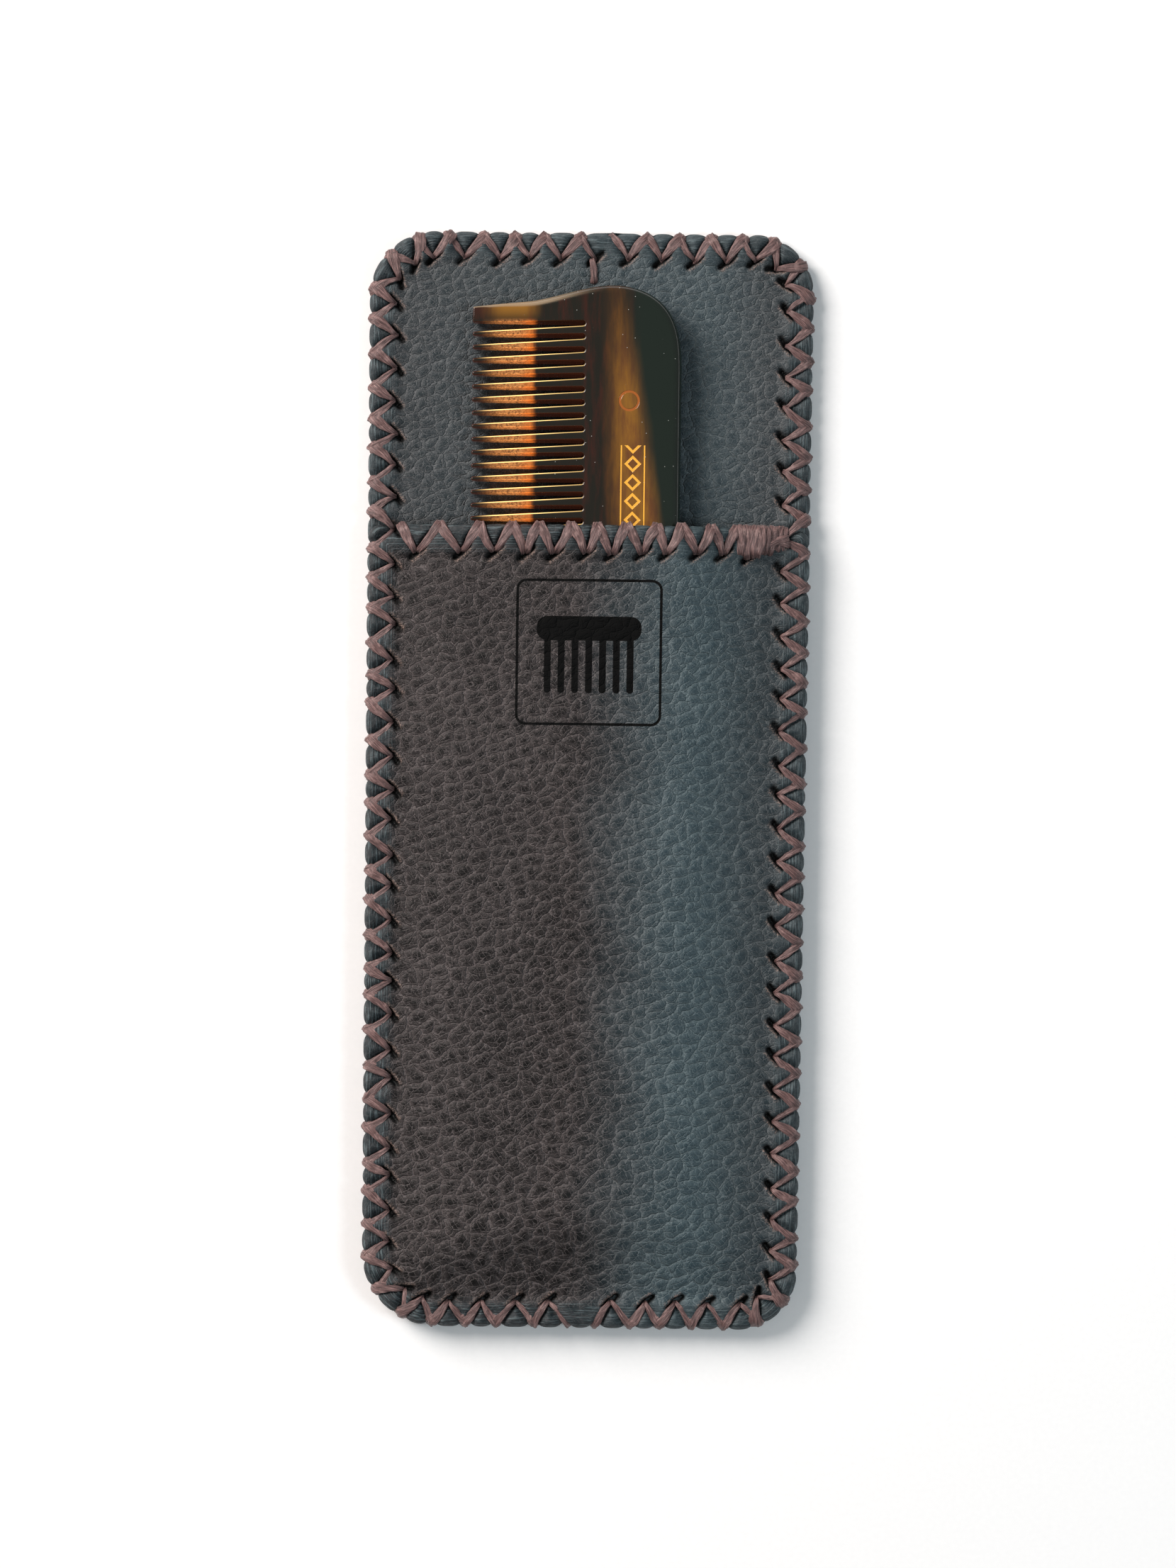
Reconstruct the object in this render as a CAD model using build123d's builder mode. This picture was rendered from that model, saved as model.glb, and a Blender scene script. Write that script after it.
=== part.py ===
"""Pocket beard comb in a hand-laced leather sleeve.

The sleeve lies on its back: X runs across it, +Y runs along it to the end where the comb comes
out, and +Z is up through its thickness. The origin is the middle of the sleeve's flat underside.
The comb slides along Y between the sleeve's lining and its pocket leather. Millimetres.
"""

import os
from build123d import *

os.makedirs("parts", exist_ok=True)

# Sleeve outline
SLEEVE_LENGTH = 153.0
TOP_WIDTH = 61.8
FOOT_WIDTH = 60.2
TOP_LEFT_RADIUS = 9.0
TOP_RIGHT_RADIUS = 8.0
FOOT_LEFT_RADIUS = 10.0
FOOT_RIGHT_RADIUS = 8.0
MOUTH_Y = 35.4  # edge of the pocket leather

# Leather
LEATHER = 1.2
RIM_PINCH = 0.5  # how far the lacing draws a bare rim in
RIM_WIDTH = 5.2

# Comb
COMB_LENGTH = 127.0
COMB_WIDTH = 29.3
COMB_TOP_Y = 69.1
COMB_TIP_X = -16.6
TIP_THICKNESS = 2.0
ROOT_THICKNESS = 3.8
BODY_THICKNESS = 4.0
TOOTH_LENGTH = 15.4
TOOTH_PITCH = 1.844
SLOT_COUNT = 64
SLOT_ROOT_WIDTH = 0.66
SLOT_TIP_WIDTH = 1.26
SLOT_RAKE = 2.0  # degrees that the teeth lean from square to the spine
TOOTH_TIP_ROUND = 0.27
GUARD_DROP = 3.1  # how far the comb falls away from its crown to its tips
NECK_LENGTH = 7.5
NECK_RISE = 0.8
CROWN_X = 3.2
SHOULDER_X = 10.6
SHOULDER_FALL = 3.2
SHOULDER_LENGTH = 13.0
COMB_EDGE = 0.9

# Room for the comb in the pocket
COMB_LIFT = 0.2
HEADROOM = 0.85
POCKET_LEFT_X = -26.4
POCKET_RIGHT_X = 26.2
POCKET_FOOT_Y = -70.5
CREST_RIGHT_X = 13.3
FOOT_CREST_Y = -59.8
FOOT_CREST_RISE = 0.3
CREST_BLEND = 25.0
FOOT_BLEND = 12.0

# Lacing
THREAD = 0.3
THREAD_WIDTH = 1.1
THREAD_GAP = 0.05
HOLE_INSET = 3.2
STITCH_PITCH = 4.45
SLIT_LENGTH = 2.4
SLIT_WIDTH = 1.45
SLIT_ANGLE = 40.0  # degrees between a slit and the edge
TACK_LENGTH = 3.4
MOUTH_INSET = 3.7
MOUTH_STITCHES = 11
MOUTH_PITCH = 4.58
MOUTH_GAP = 0.17

# Levels and places that follow from those above
BED_Z = 2 * LEATHER
COMB_Z = BED_Z + COMB_LIFT
RIM_TOP_Z = BED_Z + LEATHER
BARE_RIM_Z = BED_Z - RIM_PINCH
TIP_ROOF_Z = COMB_Z + TIP_THICKNESS + HEADROOM
CREST_Z = COMB_Z + BODY_THICKNESS + HEADROOM
ROOT_X = COMB_TIP_X + TOOTH_LENGTH
SPINE_X = COMB_TIP_X + COMB_WIDTH
COMB_MIDDLE_Y = COMB_TOP_Y - COMB_LENGTH / 2
GUARD_Y = COMB_TOP_Y - GUARD_DROP
TACK_HOLE_Y = SLEEVE_LENGTH / 2 - HOLE_INSET


# ---------------------------------------------------------------- sleeve plan and pocket shape

with BuildSketch() as plan:
    top, foot = SLEEVE_LENGTH / 2, -SLEEVE_LENGTH / 2
    corners = (
        (-TOP_WIDTH / 2, top, TOP_LEFT_RADIUS),
        (TOP_WIDTH / 2, top, TOP_RIGHT_RADIUS),
        (FOOT_WIDTH / 2, foot, FOOT_RIGHT_RADIUS),
        (-FOOT_WIDTH / 2, foot, FOOT_LEFT_RADIUS),
    )
    with BuildLine():
        Polyline(*[(x, y) for x, y, _ in corners], close=True)
    make_face()
    for x, y, radius in corners:
        fillet(plan.vertices().sort_by_distance((x, y, 0))[0], radius)

# The rim that the lacing grips
with BuildSketch() as rim:
    add(plan.sketch)
    offset(plan.sketch, amount=-RIM_WIDTH, mode=Mode.SUBTRACT)

# The pocket across the sleeve: low over the tooth tips, high over the comb's body
with BuildSketch() as across:
    with BuildLine():
        Polyline(
            (POCKET_LEFT_X, BED_Z),
            (COMB_TIP_X - HEADROOM, TIP_ROOF_Z),
            (ROOT_X, CREST_Z),
            (CREST_RIGHT_X, CREST_Z),
            (POCKET_RIGHT_X, BED_Z),
            close=True,
        )
    make_face()
    fillet(across.vertices().filter_by(lambda v: v.Y > BED_Z + LEATHER), CREST_BLEND)

# The pocket along the sleeve: level to the comb's foot, then down to the bottom lacing
with BuildSketch() as along:
    with BuildLine():
        Polyline(
            (POCKET_FOOT_Y, BED_Z),
            (FOOT_CREST_Y, CREST_Z + FOOT_CREST_RISE),
            (SLEEVE_LENGTH / 2, CREST_Z + FOOT_CREST_RISE),
            (SLEEVE_LENGTH / 2, BED_Z),
            close=True,
        )
    make_face()
    crest = (FOOT_CREST_Y, CREST_Z + FOOT_CREST_RISE, 0)
    fillet(along.vertices().sort_by_distance(crest)[0], FOOT_BLEND)


# ---------------------------------------------------------------- lacing places


def edge_frames(keep):
    """Planes at one side's edge holes, top middle to foot middle, with x_dir out over the edge."""
    side = split(offset(plan.sketch, amount=-HOLE_INSET), bisect_by=Plane.YZ, keep=keep)
    line = Wire(side.edges().filter_by(lambda e: abs(e.center().X) > THREAD))
    count = round(line.length / STITCH_PITCH)
    frames = []
    for k in range(count + 1):
        at = k / count if line.position_at(0).Y > 0 else 1 - k / count
        place = line.position_at(at)
        outward = line.tangent_at(at).cross(Vector(0, 0, 1))
        if outward.dot(place) < 0:
            outward = -outward
        frames.append(Plane(origin=place, x_dir=outward, z_dir=(0, 0, 1)))
    return frames


def mouth_frames():
    """Planes at the mouth's holes: x_dir out of the pocket and z_dir out of the leather."""
    roof = Wire(across.edges().filter_by(lambda e: e.center().Y > BED_Z + THREAD))
    frames = []
    for k in range(MOUTH_STITCHES):
        x = (k - (MOUTH_STITCHES - 1) / 2) * MOUTH_PITCH
        cutter = Edge.make_line((x, BED_Z, 0), (x, CREST_Z + LEATHER, 0))
        at = roof.param_at_point(roof.distance_to_with_closest_points(cutter)[1])
        inner, run = roof.position_at(at), roof.tangent_at(at)
        if run.X < 0:
            run = -run
        normal = Vector(-run.Y, 0, run.X)
        middle = Vector(inner.X, MOUTH_Y - MOUTH_INSET, inner.Y) + normal * (LEATHER / 2)
        frames.append(Plane(origin=middle, x_dir=(0, 1, 0), z_dir=normal))
    return frames


def leg(frame, goal):
    """The upright plane of a turn from a hole to the goal, x_dir along it, and how far it reaches."""
    run = goal - frame.origin
    run -= frame.z_dir * run.dot(frame.z_dir)
    skew = abs(run.normalized().cross(frame.x_dir).dot(frame.z_dir))
    clear = THREAD_WIDTH / 2 * skew / (1 - skew * skew) ** 0.5 + THREAD_GAP
    x_dir = run.normalized()
    return Plane(frame.origin, x_dir=x_dir, z_dir=x_dir.cross(frame.z_dir)), run.length + clear


def turn(near, far, low, high):
    """One turn of thread, seen along the edge, round the box between those limits."""
    with Locations(((near + far) / 2, (low + high) / 2)):
        RectangleRounded(far - near + 2 * THREAD, high - low + 2 * THREAD, THREAD)
        Rectangle(far - near, high - low, mode=Mode.SUBTRACT)


LEFT_FRAMES = edge_frames(Keep.BOTTOM)
RIGHT_FRAMES = edge_frames(Keep.TOP)
MOUTH_FRAMES = mouth_frames()
TACK = Plane(origin=(0, TACK_HOLE_Y, 0), x_dir=(0, -1, 0), z_dir=(-1, 0, 0))

with BuildSketch() as slits:
    for frame in LEFT_FRAMES[:-1] + RIGHT_FRAMES[1:-1]:
        with Locations(frame.location):
            SlotOverall(SLIT_LENGTH, SLIT_WIDTH, rotation=SLIT_ANGLE - 90)
    with Locations((0, TACK_HOLE_Y - TACK_LENGTH)):
        SlotOverall(SLIT_LENGTH, SLIT_WIDTH, rotation=SLIT_ANGLE)


# The rim that the lacing draws in, and the place of the tack at its top middle
with BuildSketch() as drawn_in:
    add(rim.sketch)
    with Locations((0, TACK_HOLE_Y)):
        Rectangle(SLIT_LENGTH, 2 * TACK_LENGTH + SLIT_LENGTH)


# ---------------------------------------------------------------- leather

with BuildPart() as back_outer:
    with BuildSketch():
        add(plan.sketch)
    extrude(amount=LEATHER)
    with BuildSketch():
        add(drawn_in.sketch)
    extrude(amount=RIM_PINCH, mode=Mode.SUBTRACT)
    with BuildSketch():
        add(slits.sketch)
    extrude(amount=LEATHER, mode=Mode.SUBTRACT)
back_outer.part.label = "back_outer"
export_step(back_outer.part, "parts/back_outer.step")

with BuildPart() as back_lining:
    with BuildSketch(Plane.XY.offset(LEATHER)):
        add(plan.sketch)
    extrude(amount=LEATHER)
    with BuildSketch(Plane.XY.offset(BARE_RIM_Z)):
        add(drawn_in.sketch)
        with Locations((0, MOUTH_Y)):
            Rectangle(
                TOP_WIDTH,
                SLEEVE_LENGTH,
                align=(Align.CENTER, Align.MIN),
                mode=Mode.INTERSECT,
            )
    extrude(amount=RIM_PINCH, mode=Mode.SUBTRACT)
    with BuildSketch(Plane.XY.offset(LEATHER)):
        add(slits.sketch)
    extrude(amount=LEATHER, mode=Mode.SUBTRACT)
back_lining.part.label = "back_lining"
export_step(back_lining.part, "parts/back_lining.step")

# The room under the pocket leather, and the same with the leather's thickness round it
with BuildPart() as room:
    with BuildSketch(Plane.XZ):
        add(across.sketch)
    extrude(amount=SLEEVE_LENGTH / 2, both=True)
    with BuildSketch(Plane.YZ):
        add(along.sketch)
    extrude(amount=TOP_WIDTH / 2, both=True, mode=Mode.INTERSECT)

with BuildPart() as mound:
    with BuildSketch(Plane.XZ):
        offset(across.sketch, amount=LEATHER)
    extrude(amount=SLEEVE_LENGTH / 2, both=True)
    with BuildSketch(Plane.YZ):
        offset(along.sketch, amount=LEATHER)
    extrude(amount=TOP_WIDTH / 2, both=True, mode=Mode.INTERSECT)
    split(bisect_by=Plane.XY.offset(BED_Z), keep=Keep.TOP)

with BuildPart() as front_panel:
    with BuildSketch(Plane.XY.offset(BED_Z)):
        add(plan.sketch)
    extrude(amount=LEATHER)
    add(mound.part)
    add(room.part, mode=Mode.SUBTRACT)
    split(bisect_by=Plane.XZ.offset(-MOUTH_Y), keep=Keep.TOP)
    with BuildSketch(Plane.XY.offset(BED_Z)):
        add(slits.sketch)
    extrude(amount=LEATHER, mode=Mode.SUBTRACT)
    for frame in MOUTH_FRAMES:
        with BuildSketch(frame):
            SlotOverall(SLIT_LENGTH, SLIT_WIDTH, rotation=SLIT_ANGLE - 90)
    extrude(amount=LEATHER, both=True, mode=Mode.SUBTRACT)
front_panel.part.label = "front_panel"
export_step(front_panel.part, "parts/front_panel.step")


# ---------------------------------------------------------------- lacing


UNDER_Z = RIM_PINCH - THREAD_GAP


def edge_turns(frames, first):
    """Each turn of thread down one side: its plane, its reach and the level over the leather.

    A turn from a hole crosses the next hole's over the edge, halfway between the two.
    """
    goals = []
    for frame, after in zip(frames, frames[1:]):
        middle = (frame.origin + after.origin) / 2
        goals.append(plan.wires()[0].distance_to_with_closest_points(middle)[1])
    turns = []
    for k in range(first, len(goals)):
        for goal in goals[max(k - 1, 0) : k + 1]:
            lowest = min(frames[k].origin.Y, goal.Y) - 2 * THREAD_WIDTH
            high = RIM_TOP_Z if lowest < MOUTH_Y else BARE_RIM_Z
            turns.append((*leg(frames[k], goal), high + THREAD_GAP))
    return turns


with BuildPart() as edge_thread_left:
    for plane, reach, high in edge_turns(LEFT_FRAMES, 0):
        with BuildSketch(plane):
            turn(THREAD / 2, reach, UNDER_Z, high)
    extrude(amount=THREAD_WIDTH / 2, both=True)
    with BuildSketch(TACK):
        turn(0, TACK_LENGTH - THREAD / 2, UNDER_Z + THREAD_GAP, BARE_RIM_Z + 2 * THREAD_GAP)
    extrude(amount=THREAD_WIDTH / 2, both=True)
edge_thread_left.part.label = "edge_thread_left"
export_step(edge_thread_left.part, "parts/edge_thread_left.step")

with BuildPart() as edge_thread_right:
    for plane, reach, high in edge_turns(RIGHT_FRAMES, 1):
        with BuildSketch(plane):
            turn(THREAD / 2, reach, UNDER_Z, high)
    extrude(amount=THREAD_WIDTH / 2, both=True)
edge_thread_right.part.label = "edge_thread_right"
export_step(edge_thread_right.part, "parts/edge_thread_right.step")

MOUTH_TURNS = [(frame, Vector(-MOUTH_PITCH / 2, MOUTH_INSET, 0)) for frame in MOUTH_FRAMES[1:]]
MOUTH_TURNS += [(frame, Vector(MOUTH_PITCH / 2, MOUTH_INSET, 0)) for frame in MOUTH_FRAMES[:-1]]

with BuildPart() as mouth_thread:
    for frame, run in MOUTH_TURNS:
        plane, reach = leg(frame, frame.origin + run)
        with BuildSketch(plane):
            turn(THREAD / 2, reach, -LEATHER / 2 - MOUTH_GAP, LEATHER / 2 + THREAD_GAP)
    extrude(amount=THREAD_WIDTH / 2, both=True)
mouth_thread.part.label = "mouth_thread"
export_step(mouth_thread.part, "parts/mouth_thread.step")


# ---------------------------------------------------------------- comb

SLOT_REACH = TOOTH_LENGTH + TOOTH_PITCH  # past the tooth tips
SLOT_END_WIDTH = SLOT_ROOT_WIDTH + (SLOT_TIP_WIDTH - SLOT_ROOT_WIDTH) * SLOT_REACH / TOOTH_LENGTH

with BuildSketch() as slot:
    with BuildLine():
        Polyline(
            (0, SLOT_ROOT_WIDTH / 2),
            (-SLOT_REACH, SLOT_END_WIDTH / 2),
            (-SLOT_REACH, -SLOT_END_WIDTH / 2),
            (0, -SLOT_ROOT_WIDTH / 2),
        )
        RadiusArc((0, -SLOT_ROOT_WIDTH / 2), (0, SLOT_ROOT_WIDTH / 2), -SLOT_ROOT_WIDTH / 2)
    make_face()

with BuildSketch() as comb_plan:
    with BuildLine():
        neck = Line((COMB_TIP_X, GUARD_Y), (COMB_TIP_X + NECK_LENGTH, GUARD_Y + NECK_RISE))
        rise = Spline(neck @ 1, (CROWN_X, COMB_TOP_Y), tangents=(neck % 1, (1, 0)))
        shoulder = Spline(
            rise @ 1,
            (SHOULDER_X, COMB_TOP_Y - SHOULDER_FALL),
            (SPINE_X, COMB_TOP_Y - SHOULDER_LENGTH),
            tangents=((1, 0), (0, -1)),
        )
        Line(shoulder @ 1, (SPINE_X, COMB_MIDDLE_Y))
        Line((COMB_TIP_X, COMB_MIDDLE_Y), neck @ 0)
        mirror(about=Plane.XZ.offset(-COMB_MIDDLE_Y))
    make_face()
    first_slot_y = COMB_MIDDLE_Y - (SLOT_COUNT - 1) / 2 * TOOTH_PITCH
    roots = [(ROOT_X, first_slot_y + k * TOOTH_PITCH, 0) for k in range(SLOT_COUNT)]
    with Locations(*[Location(root, (0, 0, SLOT_RAKE)) for root in roots]):
        add(slot.sketch, mode=Mode.SUBTRACT)
    tooth_ends = comb_plan.vertices().filter_by(lambda v: v.X < COMB_TIP_X + TOOTH_TIP_ROUND)
    fillet(tooth_ends, TOOTH_TIP_ROUND)

with BuildPart() as comb:
    with BuildSketch(Plane.XZ):
        with BuildLine():
            Polyline(
                (COMB_TIP_X, COMB_Z),
                (COMB_TIP_X, COMB_Z + TIP_THICKNESS),
                (ROOT_X, COMB_Z + ROOT_THICKNESS),
                (ROOT_X + TOOTH_PITCH, COMB_Z + BODY_THICKNESS),
                (SPINE_X, COMB_Z + BODY_THICKNESS),
                (SPINE_X, COMB_Z),
                close=True,
            )
        make_face()
    extrude(amount=SLEEVE_LENGTH, both=True)
    with BuildSketch():
        add(comb_plan.sketch)
    extrude(amount=CREST_Z, mode=Mode.INTERSECT)
    upper = comb.edges().filter_by(lambda e: e.center().Z > COMB_Z + ROOT_THICKNESS)
    fillet(upper.filter_by(lambda e: e.center().X > ROOT_X + TOOTH_PITCH), COMB_EDGE)
comb.part.label = "comb"
export_step(comb.part, "parts/comb.step")
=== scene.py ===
"""A pocket beard comb in a hand-laced leather sleeve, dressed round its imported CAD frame.

Lengths in the shape code are millimetres, in the frame's own axes: X across the sleeve, +Y to its
open end, +Z up. They turn into metres where a mesh is made.
"""

import math

import bpy
import numpy as np
from bpy.props import FloatProperty, FloatVectorProperty, IntProperty, PointerProperty
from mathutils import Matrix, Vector
from mathutils.geometry import delaunay_2d_cdt


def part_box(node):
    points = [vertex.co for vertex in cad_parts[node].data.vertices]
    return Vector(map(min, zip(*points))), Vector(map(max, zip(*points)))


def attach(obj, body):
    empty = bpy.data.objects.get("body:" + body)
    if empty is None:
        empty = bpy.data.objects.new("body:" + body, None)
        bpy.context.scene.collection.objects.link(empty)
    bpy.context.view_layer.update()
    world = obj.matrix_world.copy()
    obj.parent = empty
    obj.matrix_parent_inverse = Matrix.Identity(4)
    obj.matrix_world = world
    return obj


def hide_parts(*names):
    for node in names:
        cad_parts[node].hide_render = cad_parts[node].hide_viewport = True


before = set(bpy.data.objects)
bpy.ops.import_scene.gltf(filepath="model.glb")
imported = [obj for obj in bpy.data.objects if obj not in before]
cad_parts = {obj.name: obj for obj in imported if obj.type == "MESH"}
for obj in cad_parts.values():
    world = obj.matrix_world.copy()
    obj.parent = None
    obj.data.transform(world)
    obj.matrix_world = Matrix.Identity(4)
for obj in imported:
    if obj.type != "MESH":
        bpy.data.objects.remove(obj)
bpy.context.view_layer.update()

bl_info = {
    "name": "Comb and Laced Sleeve",
    "version": (1, 0, 0),
    "blender": (4, 5, 0),
    "location": "3D View > Sidebar > Sleeve",
    "description": "Builds a beard comb in a hand-laced leather sleeve",
    "category": "Add Mesh",
}

MM = 0.001
SEED = 41
DENT = 0.72  # how far the thread draws the leather's edge in

# ---------------------------------------------------------------- places read from the frame


def node_box(node):
    """A CAD node's lowest and highest corner in millimetres."""
    low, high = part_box(node)
    return np.array(low) / MM, np.array(high) / MM


LINING_LOW, LINING_HIGH = node_box("back_lining")
OUTER_LOW, OUTER_HIGH = node_box("back_outer")
PANEL_HIGH = node_box("front_panel")[1]
COMB_LOW, COMB_HIGH = node_box("comb")

HALF_TOP = (LINING_HIGH[0] - LINING_LOW[0]) / 2
HALF_LENGTH = (LINING_HIGH[1] - LINING_LOW[1]) / 2
LEATHER = OUTER_HIGH[2] - OUTER_LOW[2]
BED = LINING_HIGH[2]
RIM_TOP = BED + LEATHER
MOUTH = PANEL_HIGH[1]
CREST = PANEL_HIGH[2] - LEATHER
COMB_MIDDLE = (COMB_LOW[1] + COMB_HIGH[1]) / 2
COMB_CLEARANCE = 0.42  # how much lower the lacing lies where the comb slides out over it
# the single upright stitch, from its end near the rim to its end near the comb
TACK = np.array([[[0.0, HALF_LENGTH - 3.4]], [[0.25, HALF_LENGTH - 6.7]]])


# ---------------------------------------------------------------- small mathematics


def smoothstep(low, high, value):
    """0 below low, 1 above high and an S between, also where low is the higher."""
    part = np.clip((value - low) / (high - low), 0, 1)
    return part * part * (3 - 2 * part)


def bell(distance, width):
    """1 at no distance, falling off over about the width."""
    return np.exp(-((distance / width) ** 2))


def lumps(x, y, size, seed):
    """Smooth random lumps between -1 and 1, about the given size across."""
    table = np.random.default_rng(seed).uniform(-1, 1, (128, 128))
    u, v = np.asarray(x) / size, np.asarray(y) / size
    i, j = np.floor(u).astype(int), np.floor(v).astype(int)
    fu, fv = smoothstep(0, 1, u - i), smoothstep(0, 1, v - j)
    low = table[i % 128, j % 128] * (1 - fu) + table[(i + 1) % 128, j % 128] * fu
    high = table[i % 128, (j + 1) % 128] * (1 - fu) + table[(i + 1) % 128, (j + 1) % 128] * fu
    return low * (1 - fv) + high * fv


def unit(vectors):
    """The same vectors, each one long."""
    return vectors / np.maximum(np.linalg.norm(vectors, axis=-1, keepdims=True), 1e-9)


def turned(vectors):
    """Plane vectors turned a quarter anticlockwise."""
    return np.stack([-vectors[..., 1], vectors[..., 0]], axis=-1)


def along_polyline(points, distances):
    """Places at these distances along an open polyline, and the directions there."""
    steps = np.linalg.norm(np.diff(points, axis=0), axis=1)
    run = np.concatenate([[0], np.cumsum(steps)])
    places = np.stack([np.interp(distances, run, points[:, k]) for k in range(2)], axis=1)
    ahead = np.stack([np.interp(distances + 0.3, run, points[:, k]) for k in range(2)], axis=1)
    behind = np.stack([np.interp(distances - 0.3, run, points[:, k]) for k in range(2)], axis=1)
    return places, unit(ahead - behind)


def segment_distance(points, starts, ends):
    """Each point's distance to the nearest of the segments."""
    nearest = np.full(len(points), 99.0)
    for a, b in zip(starts, ends):
        close = np.flatnonzero(np.abs(points - (a + b) / 2).max(axis=1) < 5)
        if len(close):
            part = np.clip(((points[close] - a) @ (b - a)) / ((b - a) @ (b - a)), 0, 1)
            gap = np.linalg.norm(points[close] - a - part[:, None] * (b - a), axis=1)
            nearest[close] = np.minimum(nearest[close], gap)
    return nearest


# ---------------------------------------------------------------- the outline and its stitches


class Outline:
    """A four-cornered outline with round corners, as rays from its edge to an inner rectangle."""

    def __init__(self, corners, radii, cell, arc_cells):
        corners = np.array(corners, float)
        before, after = np.roll(corners, 1, axis=0), np.roll(corners, -1, axis=0)
        self.corners, self.arms = corners, unit(after - corners)
        radii = np.array(radii, float)[:, None]
        back, on = unit(before - corners), unit(after - corners)
        self.centres = corners + radii * (back + on)
        sides = np.linalg.norm(np.roll(self.centres, -1, axis=0) - self.centres, axis=1)
        counts = [4 * max(1, round(side / cell / 4)) for side in sides]
        counts[2], counts[3] = counts[0], counts[1]
        self.counts = (counts[1], counts[0])  # cells across, cells along
        edge, inner, index = [], [], []
        across, along = self.counts
        walk = [
            lambda k: (across, k),
            lambda k: (across - k, along),
            lambda k: (0, along - k),
            lambda k: (k, 0),
        ]
        for side in range(4):
            other = (side + 1) % 4
            start = corners[side] + radii[side] * on[side]
            end = corners[other] + radii[other] * back[other]
            for k in range(counts[side] + 1):
                part = k / counts[side]
                edge.append(start * (1 - part) + end * part)
                inner.append(self.centres[side] * (1 - part) + self.centres[other] * part)
                index.append(walk[side](k))
            first = math.atan2(*(end - self.centres[other])[::-1])
            leave = corners[other] + radii[other] * on[other] - self.centres[other]
            sweep = (math.atan2(leave[1], leave[0]) - first) % (2 * math.pi)
            for k in range(1, arc_cells):
                angle = first + sweep * k / arc_cells
                reach = radii[other] * np.array([math.cos(angle), math.sin(angle)])
                edge.append(self.centres[other] + reach)
                inner.append(self.centres[other])
                index.append(index[-1])
        self.edge, self.inner = np.array(edge), np.array(inner)
        self.index = np.array(index)
        self.inward = unit(self.inner - self.edge)

    def depth(self, points):
        """How far inside the sides these points are, round the corners too."""
        gaps = [(points - corner) @ turned(arm) for corner, arm in zip(self.corners, self.arms)]
        depth = np.min(gaps, axis=0)
        for centre, edge in zip(self.centres, np.roll(self.corners, 0, axis=0)):
            radius = np.abs(edge - centre).min()
            beyond = ((points - centre) * np.sign(edge - centre) > 0).all(axis=1)
            depth[beyond] = radius - np.linalg.norm(points[beyond] - centre, axis=1)
        return depth

    def dent(self, places, depth, width):
        """Draw the edge in at these places on it."""
        for place in places:
            close = bell(np.linalg.norm(self.edge - place, axis=1), width)
            self.edge = self.edge + self.inward * (depth * close)[:, None]


def sleeve_corners(sizes, low, high):
    """The sleeve's corners between two heights along it, from the lower right, anticlockwise."""
    foot, grow = HALF_TOP - sizes.taper / MM, sizes.plump / MM

    def half(y):
        part = (y + HALF_LENGTH) / (2 * HALF_LENGTH)
        return foot + (HALF_TOP - foot) * part + grow

    return [(half(low), low), (half(high), high), (-half(high), high), (-half(low), low)]


def whole_outline(sizes, cell=0.27):
    """The outline of a whole back leather."""
    reach = HALF_LENGTH + sizes.plump / MM
    return Outline(sleeve_corners(sizes, -reach, reach), (8.4, 8.4, 9.4, 10.4), cell, 40)


def panel_outline(sizes, cell=0.27):
    """The outline of the pocket leather, cut square at its mouth."""
    corners = sleeve_corners(sizes, -HALF_LENGTH - sizes.plump / MM, MOUTH + 0.1)
    return Outline(corners, (8.4, 2.2, 2.2, 10.4), cell, 40)


def distance_along(track):
    """How far along a polyline each of its points is."""
    return np.concatenate([[0], np.cumsum(np.linalg.norm(np.diff(track, axis=0), axis=1))])


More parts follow.
